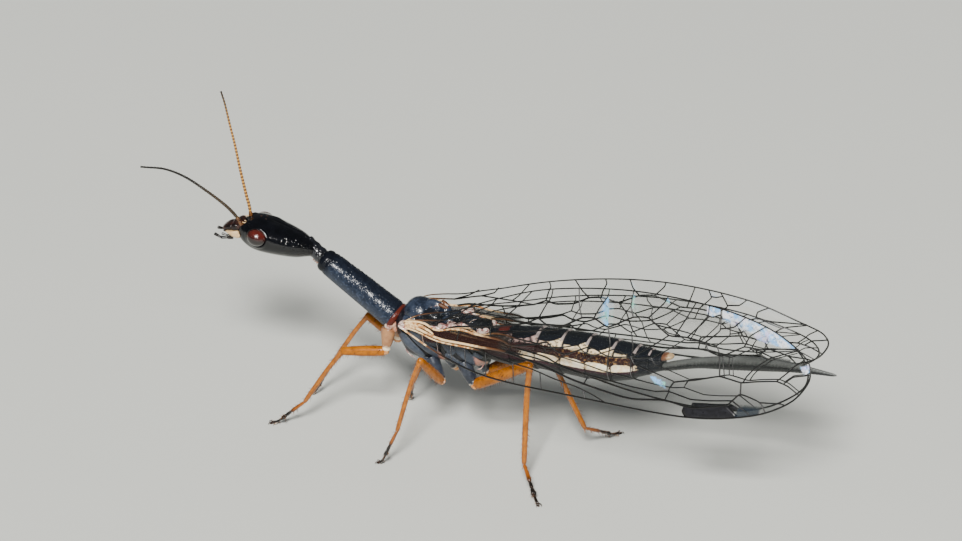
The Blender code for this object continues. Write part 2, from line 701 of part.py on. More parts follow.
def wing_slot(name, side, lift, start, stop):
    """Returns a cutter that keeps the thorax clear of a wing's root, which it meets face to face."""
    carrier = frame(name + "_frame", (0, 0, 0), (0, 0, 0), ANIMAL)
    carrier.matrix_local = wing_matrix(side, lift)
    inner, outer = -VEIN_RADIUS - GAP, 1.0
    if side == "right":
        inner, outer = -outer, -inner
    return cutter(box(name, (start - GAP, -0.8, inner), (stop, 0.8, outer), carrier, SURFACE["wing"]))


def wing_roots(thorax, station, side, slot):
    """Joins the raised root of a wing to its ring of the thorax and cuts it clear of the wing."""
    sign = -1 if side == "left" else 1
    centre = (station[0], sign * station[1], station[2])
    fuse(thorax, [ball("root", centre, WING_ROOT_RADII, ANIMAL, SURFACE["slate"], 12, 8)])
    combine(thorax, "DIFFERENCE", [slot])


clear_scene()
PARTS = collection("Venustoraphidia nigricollis")
CUTTERS = collection("Cutters")
SURFACE = {
    "black": material("black cuticle", (0.012, 0.013, 0.018), 0.2),
    "slate": material("slate cuticle", (0.045, 0.055, 0.085), 0.4),
    "abdomen": material("abdomen", (0.06, 0.05, 0.06), 0.4),
    "brown": material("brown cuticle", (0.09, 0.035, 0.02), 0.3),
    "cream": material("cream cuticle", (0.75, 0.62, 0.42), 0.4),
    "eye": material("eye", (0.13, 0.012, 0.008), 0.12),
    "coxa": material("coxa", (0.32, 0.17, 0.09), 0.35),
    "leg": material("orange leg", (0.62, 0.24, 0.03), 0.35),
    "foot": material("dark foot", (0.05, 0.03, 0.02), 0.4),
    "feeler": material("feeler", (0.12, 0.06, 0.02), 0.4),
    "tan": material("tan tip", (0.45, 0.25, 0.1), 0.4),
    "grey": material("ovipositor", (0.05, 0.055, 0.06), 0.35),
    "wing": material("wing", (0.75, 0.78, 0.7), 0.2, 0.4),
}
ANIMAL = frame("animal", (-MIDDLE_X, -MIDDLE_Y, 0.0), (0, 0, 0))
HEAD = frame("head_frame", HEAD_JOINT, Euler((0.0, -radians(HEAD_LIFT), pi + radians(HEAD_TURN))), ANIMAL)
PROTHORAX = frame("prothorax_frame", PROTHORAX_FRONT, Euler((0.0, radians(PROTHORAX_SLOPE), 0.0)), ANIMAL)
GROUND = cutter(box("ground_clearance", (-3, -4, -1), (14, 4, 0), ANIMAL, SURFACE["foot"]))

GROWN_HEAD = head_parts()
for SIDE in ("left", "right"):
    feeler(SIDE, GROWN_HEAD)
GROWN_PROTHORAX, MESOTHORAX_SOLID, METATHORAX_SOLID = trunk()
neck(GROWN_HEAD, GROWN_PROTHORAX)
GROWN_RINGS = [
    cutter(loft(name + "_clearance", sections, ANIMAL, SURFACE["slate"], grow=GAP))
    for name, sections in (("mesothorax", MESOTHORAX_SECTIONS), ("metathorax", METATHORAX_SECTIONS))
]
for LEG in LEGS:
    leg_parts(LEG, [GROWN_PROTHORAX] + GROWN_RINGS)
for SIDE in ("left", "right"):
    FOREWING_SLOT = wing_slot("forewing_slot_" + SIDE, SIDE, 0.0, 0.0, 2.2)
    HINDWING_SLOT = wing_slot("hindwing_slot_" + SIDE, SIDE, HINDWING_DEPTH, HINDWING_START, 2.6)
    wing_roots(MESOTHORAX_SOLID, FOREWING_ROOT, SIDE, FOREWING_SLOT)
    wing_roots(METATHORAX_SOLID, HINDWING_ROOT, SIDE, HINDWING_SLOT)
    wing("forewing_" + SIDE, SIDE, 0.0, (FOREWING_COSTA, FOREWING_HIND), forewing_veins())
    wing("hindwing_" + SIDE, SIDE, HINDWING_DEPTH, (HINDWING_COSTA, HINDWING_HIND), hindwing_veins())
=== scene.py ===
"""The looks of a standing female snakefly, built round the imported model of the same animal.

Sizes are in millimetres, but in metres where the place is set up in which the animal is shown.
Stations are measured from the left front toe: X runs back along the body, Y to the animal's right
and Z up from the ground. The head, the
prothorax and each wing have frames of their own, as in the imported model.
"""

from __future__ import annotations

import logging
import math
from dataclasses import dataclass, field
from enum import Enum
from typing import Any, Callable, Iterable, Sequence

import bpy
import numpy as np
from mathutils import Euler, Matrix, Vector, noise

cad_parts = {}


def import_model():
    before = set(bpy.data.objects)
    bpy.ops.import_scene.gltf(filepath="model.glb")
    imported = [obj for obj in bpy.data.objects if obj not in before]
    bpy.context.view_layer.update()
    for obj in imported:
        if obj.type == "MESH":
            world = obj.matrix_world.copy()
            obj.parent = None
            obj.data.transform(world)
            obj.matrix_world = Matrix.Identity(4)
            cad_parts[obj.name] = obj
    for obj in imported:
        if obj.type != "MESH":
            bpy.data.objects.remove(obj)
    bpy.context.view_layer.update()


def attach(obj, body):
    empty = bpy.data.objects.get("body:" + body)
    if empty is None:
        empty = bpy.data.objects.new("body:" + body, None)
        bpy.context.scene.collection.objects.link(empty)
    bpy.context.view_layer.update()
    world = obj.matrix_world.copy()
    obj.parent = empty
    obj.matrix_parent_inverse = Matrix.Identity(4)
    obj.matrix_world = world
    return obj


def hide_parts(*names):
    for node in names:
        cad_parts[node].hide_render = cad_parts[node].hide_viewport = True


LOG = logging.getLogger("snakefly")
BODY = "root"
MM = 0.001
ROW_ORIGIN = Vector((5.073, -0.162, 0.0))
STATIONS = Matrix.Scale(MM, 4) @ Matrix.Translation(-ROW_ORIGIN)
PLAN = "plan"

Colour = tuple[float, float, float]
Point = tuple[float, ...]
Array = np.ndarray
Material = bpy.types.Material
Piece = bpy.types.Object


class Side(Enum):
    """The animal's two sides. The left one faces the camera."""

    LEFT = "left"
    RIGHT = "right"

    @property
    def sign(self) -> int:
        """Returns the sign of Y on this side."""
        return -1 if self is Side.LEFT else 1


# Shader maths


def operator(operation: str, reflected: bool = False) -> Callable[..., Wire]:
    """Returns a method of a wire that adds a Math node.

    Args:
        operation: The node's operation.
        reflected: Whether the wire is the second of the two operands.

    Returns:
        The method, which takes the other operand where there is one.
    """

    def apply(wire: Wire, *others: Any) -> Wire:
        """Returns the node's result."""
        operands = (*others, wire) if reflected else (wire, *others)
        return wire.paint.node("ShaderNodeMath", {"operation": operation}, dict(enumerate(operands)))

    return apply


@dataclass(eq=False)
class Wire:
    """One link of a material's tree that takes part in arithmetic: the paint and its output socket."""

    paint: Paint
    socket: Any

    __add__ = __radd__ = operator("ADD")
    __sub__, __rsub__ = operator("SUBTRACT"), operator("SUBTRACT", True)
    __mul__ = __rmul__ = operator("MULTIPLY")
    part, size, wave = operator("FRACT"), operator("ABSOLUTE"), operator("SINE")
    least, most = operator("MINIMUM"), operator("MAXIMUM")

    def rise(self, low: float, high: float) -> Wire:
        """Returns a smooth step from 0 at low to 1 at high, which may be the smaller."""
        settings = {"interpolation_type": "SMOOTHSTEP"}
        if low <= high:
            return self.paint.node("ShaderNodeMapRange", settings, {"Value": self, 1: low, 2: high})
        return 1.0 - self.paint.node("ShaderNodeMapRange", settings, {"Value": self, 1: high, 2: low})

    def band(self, low: float, high: float, soft: float) -> Wire:
        """Returns 1 between two values and 0 outside them, with soft edges."""
        return self.rise(low - soft, low + soft) * self.rise(high + soft, high - soft)


class Paint:
    """A material that is written as expressions."""

    def __init__(self, name: str) -> None:
        """Starts a material with a Principled shader.

        Args:
            name: The material's name.
        """
        self.material = bpy.data.materials.new(name)
        self.material.use_nodes = True
        self.tree = self.material.node_tree
        self.shader = self.tree.nodes["Principled BSDF"]

    def node(self, kind: str, settings: dict[str, Any], values: dict[Any, Any], output: Any = 0) -> Wire:
        """Adds a node.

        Args:
            kind: The node's type.
            settings: The node's own settings, set first.
            values: Values or wires by socket name or number.
            output: The name or number of the wanted output.

        Returns:
            The wire of that output.
        """
        made = self.tree.nodes.new(kind)
        for key, value in settings.items():
            setattr(made, key, value)
        for key, value in values.items():
            self.feed(made.inputs[key], value)
        return Wire(self, made.outputs[output])

    def feed(self, socket: Any, value: Any) -> None:
        """Links a wire to a socket, or sets the socket's own value."""
        if isinstance(value, Wire):
            self.tree.links.new(value.socket, socket)
        elif isinstance(value, tuple) and len(value) == 3 and socket.type == "RGBA":
            socket.default_value = (*value, 1.0)
        else:
            socket.default_value = value

    def place(self) -> Wire:
        """Returns the point's place in the row frame, in metres."""
        return self.node("ShaderNodeTexCoord", {}, {}, "Object")

    def plan(self) -> tuple[Wire, Wire, Wire]:
        """Returns the three numbers that a piece's mesh keeps for its pattern."""
        read = self.tree.nodes.new("ShaderNodeAttribute")
        read.attribute_name = PLAN
        split = self.tree.nodes.new("ShaderNodeSeparateXYZ")
        self.tree.links.new(read.outputs["Vector"], split.inputs[0])
        return tuple(Wire(self, split.outputs[number]) for number in range(3))

    def noise(self, grain: float, detail: float = 4.0, rough: float = 0.55) -> Wire:
        """Returns a cloudy pattern between 0 and 1 with grains of a size in millimetres."""
        values = {"Vector": self.place(), "Scale": 1.0 / (grain * MM), "Detail": detail, "Roughness": rough}
        return self.node("ShaderNodeTexNoise", {}, values, "Fac")

    def cells(self, grain: float) -> Wire:
        """Returns the distance from the middle of cells of a size in millimetres."""
        return self.node("ShaderNodeTexVoronoi", {}, {"Vector": self.place(), "Scale": 1.0 / (grain * MM)}, "Distance")

    def mix(self, share: Any, first: Any, second: Any) -> Wire:
        """Returns one colour laid over another."""
        made = self.tree.nodes.new("ShaderNodeMix")
        made.data_type = "RGBA"
        for number, value in ((0, share), (6, first), (7, second)):
            self.feed(made.inputs[number], value)
        return Wire(self, made.outputs[2])

    def bump(self, height: Wire, depth: float, under: Wire | None = None) -> Wire:
        """Returns a normal that is bent by a height, with its depth in millimetres."""
        values = {"Height": height, "Distance": depth * MM, "Strength": 1.0}
        if under is not None:
            values["Normal"] = under
        return self.node("ShaderNodeBump", {}, values, "Normal")

    def finish(self, **sockets: Any) -> Material:
        """Feeds the shader's sockets, written as words joined by underscores, and returns the material."""
        for key, value in sockets.items():
            self.feed(self.shader.inputs[key.replace("_", " ")], value)
        return self.material


@dataclass(frozen=True)
class Cuticle:
    """A hard skin: two tones in clouds, pits, and a fine grain."""

    name: str
    tone: Colour
    second: Colour
    roughness: float = 0.3
    cloud: float = 0.15
    pits: float = 0.0
    pit_depth: float = 0.0
    grain: float = 0.02
    grain_depth: float = 0.002
    coat: float = 0.0
    shine: float = 0.5

    def colour(self, paint: Paint) -> Wire:
        """Returns the two tones in clouds."""
        return paint.mix(paint.noise(self.cloud).rise(0.35, 0.65), self.tone, self.second)

    def relief(self, paint: Paint) -> Wire:
        """Returns the normal with the grain and the pits."""
        normal = paint.bump(paint.noise(self.grain, 3.0), self.grain_depth)
        if self.pits > 0:
            pit = paint.cells(self.pits).rise(0.18, 0.5)
            normal = paint.bump(pit, self.pit_depth, normal)
        return normal

    def material(self) -> Material:
        """Returns the finished material."""
        paint = Paint(self.name)
        rough = paint.noise(self.cloud * 0.5) * 0.16 + (self.roughness - 0.08)
        return paint.finish(Base_Color=self.colour(paint), Roughness=rough, Normal=self.relief(paint),
                            Coat_Weight=self.coat, Coat_Roughness=0.08, Specular_IOR_Level=self.shine)


@dataclass(frozen=True)
class TippedCuticle(Cuticle):
    """A hard skin whose colour turns into another towards its far end, as the plan's first number."""

    tip: Colour = (0.8, 0.7, 0.6)
    start: float = 0.7
    soft: float = 0.1

    def colour(self, paint: Paint) -> Wire:
        """Returns the clouds with the tip's colour over them."""
        along = paint.plan()[0] + (paint.noise(0.06) - 0.5) * 0.2
        return paint.mix(along.rise(self.start - self.soft, self.start + self.soft), super().colour(paint), self.tip)


# Mesh tools


def smooth(points: Sequence[Point], steps: int) -> Array:
    """Returns a smooth way through points of any number of dimensions.

    Args:
        points: The points that the way passes.
        steps: How many steps lead from each point to the next.

    Returns:
        An array with one row for each point of the way.
    """
    given = np.array(points, float)
    ends = np.vstack([2 * given[0] - given[1], given, 2 * given[-1] - given[-2]])
    t = np.linspace(0, 1, steps, endpoint=False)[:, None]
    rows = []
    for a, b, c, d in zip(ends, ends[1:], ends[2:], ends[3:]):
        rows.append(0.5 * (2 * b + (c - a) * t + (2 * a - 5 * b + 4 * c - d) * t ** 2
                           + (3 * b - a - 3 * c + d) * t ** 3))
    return np.vstack(rows + [given[-1:]])


def kinked(points: Sequence[Point], steps: int, bend: float) -> Array:
    """Returns a way through points that is straight between them at bend 0 and smooth at bend 1."""
    given = np.array(points, float)
    t = np.linspace(0, 1, steps, endpoint=False)[:, None]
    straight = np.vstack([a + (b - a) * t for a, b in zip(given, given[1:])] + [given[-1:]])
    return straight + (smooth(points, steps) - straight) * bend


def evenly(way: Array, count: int) -> Array:
    """Returns the way with a number of points at even distances along it."""
    steps = np.linalg.norm(np.diff(way[:, :3], axis=0), axis=1)
    lengths = np.concatenate([[0.0], np.cumsum(steps)])
    wanted = np.linspace(0, lengths[-1], count)
    return np.column_stack([np.interp(wanted, lengths, way[:, axis]) for axis in range(way.shape[1])])


def swell(values: Array, middle: float, width: float) -> Array:
    """Returns a bell of height 1 about a middle."""
    return np.exp(-(((values - middle) / width) ** 2))


def ramp(values: Array, low: float, high: float) -> Array:
    """Returns a smooth step from 0 at low to 1 at high."""
    share = np.clip((values - low) / (high - low), 0, 1)
    return share * share * (3 - 2 * share)


def turns(count: int) -> Array:
    """Returns the angles of a number of points round a ring."""
    return np.linspace(0, 2 * math.pi, count, endpoint=False)


def squared(values: Array, power: Any) -> Array:
    """Returns cosines or sines as a squarer ring has them; a power of 2 leaves it round."""
    return np.sign(values) * np.abs(values) ** (2 / power)


def capped(share: Array, power: float, least: float = 0.02) -> Array:
    """Returns what a radius is multiplied by to close both ends of a share, blunter at a higher power."""
    return np.sqrt(np.clip(1 - np.abs(2 * share - 1) ** power, least, 1))


@dataclass
class Clay:
    """Gathers grids of points and the plan numbers that their pattern reads, for one mesh."""

    points: list[Array] = field(default_factory=list)
    plans: list[Array] = field(default_factory=list)
    quads: list[Array] = field(default_factory=list)
    triangles: list[Array] = field(default_factory=list)
    count: int = 0

    def grid(self, rings: Array, plans: Array) -> None:
        """Adds a closed body through rings of points, with a fan over its first and its last ring.

        Args:
            rings: Points by ring, place on the ring and axis.
            plans: The plan numbers in the same order.
        """
        rows, columns = rings.shape[:2]
        index = np.arange(rows * columns).reshape(rows, columns)
        after = np.roll(index, -1, axis=1)
        quads = np.stack([index[:-1], after[:-1], after[1:], index[1:]], axis=-1).reshape(-1, 4)
        points = np.vstack([rings.reshape(-1, 3), rings[0].mean(axis=0), rings[-1].mean(axis=0)])
        first, last = np.full(columns, rows * columns), np.full(columns, rows * columns + 1)
        triangles = np.vstack([np.stack([after[0], index[0], first], axis=-1),
                               np.stack([index[-1], after[-1], last], axis=-1)])
        corners = points[np.vstack([quads[:, :3], quads[:, [0, 2, 3]], triangles])]
        if np.einsum("ij,ij->i", corners[:, 0], np.cross(corners[:, 1], corners[:, 2])).sum() < 0:
            quads, triangles = quads[:, ::-1], triangles[:, ::-1]
        self.quads.append(quads + self.count)
        self.triangles.append(triangles + self.count)
        self.points.append(points)
        self.plans.append(np.vstack([plans.reshape(-1, 3), plans[0].mean(axis=0), plans[-1].mean(axis=0)]))
        self.count += len(points)

    def pillow(self, rim: Array, lay: Callable[[Array, Array], Array], top: float,
               under: float, tag: float = 0.0, rows: int = 10, power: float = 3.0) -> None:
        """Adds a cushion-like plate that lies on a surface.

        Args:
            rim: The plate's outline in the surface's own two numbers.
            lay: Returns the place of points of the surface at heights above it.
            top: Its height above the surface.
            under: How far it reaches below the surface.
            tag: A number that its pattern reads.
            rows: How many rings its upper side has.
            power: How squarely its upper side ends.
        """
        middle = rim.mean(axis=0)
        shares = np.concatenate([np.linspace(0.06, 1, rows), [0.97, 0.5, 0.1]])
        levels = np.concatenate([top * np.sqrt(1 - np.linspace(0.06, 1, rows) ** power), [-under] * 3])
        rings, plans = [], []
        for share, level in zip(shares, levels):
            flat = middle + (rim - middle) * share
            rings.append(lay(flat, np.full(len(rim), level)))
            plans.append(np.stack([(flat[:, 0] - rim[:, 0].min()) / np.ptp(rim[:, 0]),
                                   np.full(len(rim), tag), np.full(len(rim), share)], axis=-1))
        self.grid(np.array(rings), np.array(plans))

    def tube(self, way: Array, radii: Array, sides: int = 10, flat: float = 1.0,
             tag: float = 0.0, up: Point = (0.0, 0.0, 1.0)) -> None:
        """Adds a tube, whose plan numbers are the share along it, its tag and the height round it.

        Args:
            way: The points of its middle line.
            radii: Its radius at each point.
            sides: How many sides it has.
            flat: Its height as a share of its width.
            tag: A number that its pattern reads.
            up: The direction of its height.
        """
        ahead = np.gradient(way, axis=0)
        ahead /= np.linalg.norm(ahead, axis=1)[:, None]
        across = np.cross(ahead, np.array(up, float))
        if np.linalg.norm(across, axis=1).min() < 0.05:
            across = np.cross(ahead, np.array((0.31, 0.95, 0.05)))
        across /= np.linalg.norm(across, axis=1)[:, None]
        above = np.cross(across, ahead)
        turn = turns(sides)
        wide = np.asarray(radii, float)[:, None, None]
        rings = (way[:, None] + across[:, None] * np.cos(turn)[None, :, None] * wide
                 + above[:, None] * np.sin(turn)[None, :, None] * wide * flat)
        along = np.linspace(0, 1, len(way))[:, None] * np.ones(sides)
        plans = np.stack([along, np.full_like(along, tag), np.ones_like(along) * np.sin(turn)], axis=-1)
        self.grid(rings, plans)

    def ball(self, centre: Point, axes: Array, rows: int = 16, sides: int = 24, power: float = 2.0,
             tag: float = 0.0) -> None:
        """Adds a rounded body about a centre, squarer as its power grows.

        Args:
            centre: Its middle.
            axes: Three rows, each a half axis of it; its plan runs along the first.
            rows: How many rings it has along the first half axis.
            sides: How many sides each ring has.
            power: 2 for an ellipsoid, more for a rounded box.
            tag: A number that its pattern reads.
        """
        tilt = np.linspace(0.02, math.pi - 0.02, rows)[:, None]
        turn = turns(sides)[None]
        along = -squared(np.cos(tilt), power) * np.ones_like(turn)
        wide = squared(np.sin(tilt), power) * squared(np.cos(turn), power)
        high = squared(np.sin(tilt), power) * squared(np.sin(turn), power)
        local = np.stack([along, wide, high], axis=-1)
        rings = np.array(centre, float) + local @ np.asarray(axes, float)
        plans = np.stack([along * 0.5 + 0.5, np.full_like(along, tag), high], axis=-1)
        self.grid(rings, plans)

    def build(self, name: str, material: Material, matrix: Matrix = STATIONS) -> Piece:
        """Makes the mesh and its object, with faces that point outwards.

        Args:
            name: The piece's name.
            material: Its finish.
            matrix: What takes its points to the row frame.

        Returns:
            The new object, at the origin.
        """
        mesh = bpy.data.meshes.new(name)
        faces = [face for group in self.quads + self.triangles for face in group.tolist()]
        mesh.from_pydata(np.vstack(self.points).tolist(), [], faces)
        kept = mesh.attributes.new(PLAN, "FLOAT_VECTOR", "POINT")
        kept.data.foreach_set("vector", np.vstack(self.plans).astype(np.float32).ravel())
        return place_mesh(mesh, name, matrix, material)


def linked(name: str, data: Any) -> Piece:
    """Returns a new object in the scene with a mesh, a curve, a lamp or a lens."""
    made = bpy.data.objects.new(name, data)
    bpy.context.scene.collection.objects.link(made)
    return made


def place_mesh(mesh: bpy.types.Mesh, name: str, matrix: Matrix, material: Material) -> Piece:
    """Moves a mesh to its place, dresses it and links its object, which sits at the origin.

    Args:
        mesh: The mesh, whose faces point outwards.
        name: The piece's name.
        matrix: What takes its points to the row frame.
        material: Its finish.

    Returns:
        The new object.
    """
    mesh.transform(matrix)
    if matrix.determinant() < 0:
        mesh.flip_normals()
    mesh.materials.clear()
    mesh.materials.append(material)
    mesh.shade_smooth()
    mesh.update()
    mesh.name = name
    return linked(name, mesh)


def set_piece(piece: Piece, slot: str, nodes: Iterable[str] = ()) -> Piece:
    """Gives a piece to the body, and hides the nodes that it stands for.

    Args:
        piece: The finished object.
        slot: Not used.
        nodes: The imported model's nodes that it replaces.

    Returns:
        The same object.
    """
    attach(piece, BODY)
    if nodes:
        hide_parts(*nodes)
    LOG.info("%s: %d faces", piece.name, len(piece.data.polygons))
    return piece


@dataclass(frozen=True)
class Oval:
    """One cross-section of the body: its middle, half width, half height and squareness."""

    x: float
    z: float
    half_width: float
    half_height: float
    power: float = 2.0


def measures(ovals: Sequence[Oval], steps: int, x: Array) -> list[Array]:
    """Returns a body's middle height, half width, half height and power at places along X."""
    way = smooth([(o.x, o.z, o.half_width, o.half_height, o.power) for o in ovals], steps)
    return [np.interp(x, way[:, 0], column) for column in way.T[1:]]


def body_grid(ovals: Sequence[Oval], steps: int, sides: int, rows: int) -> tuple[Array, Array, Array]:
    """Returns a smooth body's rings, and each point's share along it and turn round it.

    Args:
        ovals: Its cross-sections, along X.
        steps: Steps of the smooth way from one section to the next.
        sides: How many sides a ring has.
        rows: How many rings there are.

    Returns:
        The rings, and the along and turn numbers in the same order.
    """
    x = np.linspace(ovals[0].x, ovals[-1].x, rows)
    z, wide, high, power = (column[:, None] for column in measures(ovals, steps, x))
    turn = turns(sides)[None] * np.ones((rows, 1))
    flat = [wide * squared(np.cos(turn), power), z + high * squared(np.sin(turn), power)]
    rings = np.stack([x[:, None] * np.ones_like(turn), *flat], axis=-1)
    along = (x[:, None] - x[0]) / (x[-1] - x[0]) * np.ones_like(turn)
    return rings, along, turn


def outward(rings: Array) -> Array:
    """Returns each ring point's direction away from the middle of its ring, across the body."""
    away = rings - rings.mean(axis=1, keepdims=True)
    away[..., 0] = 0
    return away / np.maximum(np.linalg.norm(away, axis=-1, keepdims=True), 1e-9)


# The head and what it carries


def rotation(tilt: float, turn: float) -> Matrix:
    """Returns the turn of a frame that leans about Y and then turns about Z, in degrees."""
    return Euler((0.0, math.radians(tilt), math.radians(turn))).to_matrix().to_4x4()


@dataclass
class Head:
    """The head capsule with its eyes, simple eyes and mouthparts, in a frame that runs forwards."""

    joint: Point = (0.65, 0.0, 3.76)
    turn: float = 14.0
    lift: float = 15.0
    ovals: tuple[Oval, ...] = (
        Oval(0.0, 0.0, 0.17, 0.14), Oval(0.13, 0.0, 0.24, 0.195), Oval(0.3, 0.0, 0.325, 0.26),
        Oval(0.51, 0.0, 0.4, 0.3), Oval(0.8, 0.0, 0.455, 0.335, 2.1), Oval(1.05, 0.0, 0.475, 0.35, 2.2),
        Oval(1.25, 0.0, 0.44, 0.335, 2.3), Oval(1.42, -0.01, 0.35, 0.275, 2.3), Oval(1.53, -0.02, 0.26, 0.2, 2.2),
        Oval(1.62, -0.03, 0.15, 0.11, 2.0),
    )
    eye_centre: Point = (1.17, 0.42, 0.055)
    eye_radii: Point = (0.205, 0.165, 0.172)
    socket_depth: float = 0.03
    socket_rim: float = 0.016
    feeler_pit: Point = (1.52, 0.12, 0.17)
    ocelli: tuple[Point, ...] = ((1.23, 0.0), (1.12, 0.065), (1.12, -0.065))
    ocellus_radius: float = 0.02
    mandible: tuple[Point, ...] = (
        (1.5, 0.13, -0.17), (1.64, 0.12, -0.2), (1.75, 0.09, -0.2), (1.85, 0.05, -0.205), (1.9, 0.01, -0.21),
    )
    maxillary_palp: tuple[Point, ...] = (
        (1.64, 0.18, -0.25), (1.75, 0.2, -0.265), (1.89, 0.2, -0.31), (2.04, 0.15, -0.305),
    )
    labial_palp: tuple[Point, ...] = ((1.66, 0.08, -0.25), (1.78, 0.09, -0.28), (1.9, 0.08, -0.285))

    def matrix(self) -> Matrix:
        """Returns what takes the head's own points to the row frame."""
        return STATIONS @ Matrix.Translation(self.joint) @ rotation(-self.lift, 180.0 + self.turn)

    def capsule(self, material: Material) -> Piece:
        """Builds the glossy capsule, sunk round the eyes and the feelers' sockets."""
        rings, _, _ = body_grid(self.ovals, 12, 160, 150)
        away = outward(rings)
        x, y, z = (rings[..., axis] for axis in range(3))
        lift = np.zeros_like(x)
        for sign in (1, -1):
            cx, _, cz = self.eye_centre
            gap = np.sqrt(((x - cx) / self.eye_radii[0]) ** 2 + ((z - cz) / self.eye_radii[2]) ** 2)
            side = ramp(sign * y, 0.1, 0.25)
            lift += side * (self.socket_rim * swell(gap, 1.12, 0.14) - self.socket_depth * (1 - ramp(gap, 0.75, 1.05)))
            px, py = self.feeler_pit[0], sign * self.feeler_pit[1]
            near = np.sqrt((x - px) ** 2 + (y - py) ** 2)
            top = ramp(z, 0.0, 0.08)
            lift += top * (0.018 * swell(near, 0.085, 0.022) - 0.012 * (1 - ramp(near, 0.03, 0.08)))
        lift -= 0.014 * swell(y, 0.0, 0.02) * ramp(z, 0.05, 0.2) * (1 - ramp(x, 0.85, 1.05))
        lift += 0.012 * swell(x, 1.16, 0.14) * swell(y, 0.0, 0.15) * ramp(z, 0.1, 0.25)
        lift -= 0.02 * swell(x, 1.5, 0.05) * swell(np.abs(y), 0.0, 0.12) * ramp(z, 0.0, 0.15)
        lift += 0.03 * swell(x, 1.41, 0.06) * swell(np.abs(y), 0.2, 0.07) * ramp(z, 0.05, 0.15)
        lift += 0.018 * swell(x, 0.9, 0.1) * swell(np.abs(y), 0.19, 0.08) * ramp(z, 0.1, 0.2)
        rings = rings + away * lift[..., None]
        plans = np.stack([x, np.zeros_like(x), z], axis=-1)
        clay = Clay()
        clay.grid(rings, plans)
        return clay.build("head_capsule", material, self.matrix())

    def eye(self, side: Side, material: Material) -> Piece:
        """Builds one compound eye."""
        centre = (self.eye_centre[0], -side.sign * self.eye_centre[1], self.eye_centre[2])
        axes = np.diag((self.eye_radii[2], self.eye_radii[0], self.eye_radii[1]))[:, [1, 2, 0]]
        clay = Clay()
        clay.ball(centre, axes, 72, 96)
        return clay.build("eye_" + side.value + "_facets", material, self.matrix())

    def simple_eyes(self, material: Material) -> Piece:
        """Builds the three simple eyes on the crown."""
        clay = Clay()
        for x, y in self.ocelli:
            wide = np.interp(x, [o.x for o in self.ovals], [o.half_width for o in self.ovals])
            high = np.interp(x, [o.x for o in self.ovals], [o.half_height for o in self.ovals])
            z = high * math.sqrt(1 - (y / wide) ** 2) + 0.008
            clay.ball((x, y, z), np.eye(3) * self.ocellus_radius, 14, 20)
        return clay.build("simple_eyes", material, self.matrix())

    def face(self, material: Material) -> Piece:
        """Builds the clypeus, the upper lip in front of it and the brow over both."""
        clay = Clay()
        brow = (Oval(1.5, 0.035, 0.16, 0.13, 2.4), Oval(1.58, 0.045, 0.19, 0.145, 2.6),
                Oval(1.64, 0.035, 0.185, 0.125, 2.6), Oval(1.69, 0.02, 0.14, 0.09, 2.4))
        clypeus = (Oval(1.55, -0.02, 0.15, 0.12, 2.6), Oval(1.62, -0.015, 0.19, 0.115, 3.0),
                   Oval(1.71, -0.025, 0.188, 0.105, 3.0), Oval(1.75, -0.04, 0.16, 0.085, 2.6),
                   Oval(1.765, -0.045, 0.1, 0.05, 2.4))
        lip = (Oval(1.72, -0.05, 0.12, 0.07, 2.4), Oval(1.76, -0.055, 0.165, 0.085, 2.8),
               Oval(1.83, -0.085, 0.155, 0.078, 2.6), Oval(1.885, -0.13, 0.12, 0.06, 2.4),
               Oval(1.92, -0.16, 0.08, 0.035, 2.2), Oval(1.93, -0.165, 0.04, 0.018, 2.0))
        for number, ovals in enumerate((brow, clypeus, lip)):
            rings, along, turn = body_grid(ovals, 8, 64, 40)
            clay.grid(rings, np.stack([along, np.full_like(along, number), np.sin(turn)], axis=-1))
        return clay.build("clypeus_and_lip", material, self.matrix())

    def cheeks(self, material: Material) -> Piece:
        """Builds the pale side plates and the throat below the upper lip."""
        clay = Clay()
        for sign in (1, -1):
            rim = np.array(((1.54, -0.1), (1.6, -0.055), (1.7, -0.1), (1.83, -0.18), (1.84, -0.205),
                            (1.74, -0.22), (1.64, -0.235), (1.55, -0.225), (1.52, -0.17)))
            rim = evenly(smooth([*rim, rim[0]], 8), 65)[:-1]

            def lay(flat: Array, level: Array) -> Array:
                """Returns points of the cheek's upright plane, which leans in at its front and foot."""
                y = 0.185 - 0.1 * ramp(flat[:, 0], 1.66, 1.95) + 0.25 * (flat[:, 1] + 0.15)
                return np.column_stack([flat[:, 0], sign * (y + level), flat[:, 1]])

            clay.pillow(rim, lay, 0.035, 0.1, 0.0, 10, 2.4)
        axes = np.array(((0.18, 0.0, -0.02), (0.0, 0.11, 0.0), (0.0, 0.0, 0.05)))
        clay.ball((1.66, 0.0, -0.2), axes, 24, 32, 2.4)
        return clay.build("cheek_plates", material, self.matrix())

    def cheek_edges(self, material: Material) -> Piece:
        """Builds the pale rims behind the cheeks and round the feelers' sockets."""
        clay = Clay()
        for sign in (1, -1):
            edge = smooth([(1.555, sign * 0.2, -0.2), (1.545, sign * 0.215, -0.15), (1.55, sign * 0.205, -0.09)], 10)
            clay.tube(edge, 0.022 * np.sin(np.linspace(0.25, math.pi - 0.25, len(edge))), 16)
            turn = np.linspace(0, 2 * math.pi, 41)
            px, py = self.feeler_pit[:2]
            ring = np.column_stack([px + 0.048 * np.cos(turn), sign * py + 0.048 * np.sin(turn),
                                    0.165 - 0.25 * 0.048 * np.cos(turn)])
            clay.tube(ring, np.full(41, 0.01), 10)
        return clay.build("cheek_edges", material, self.matrix())

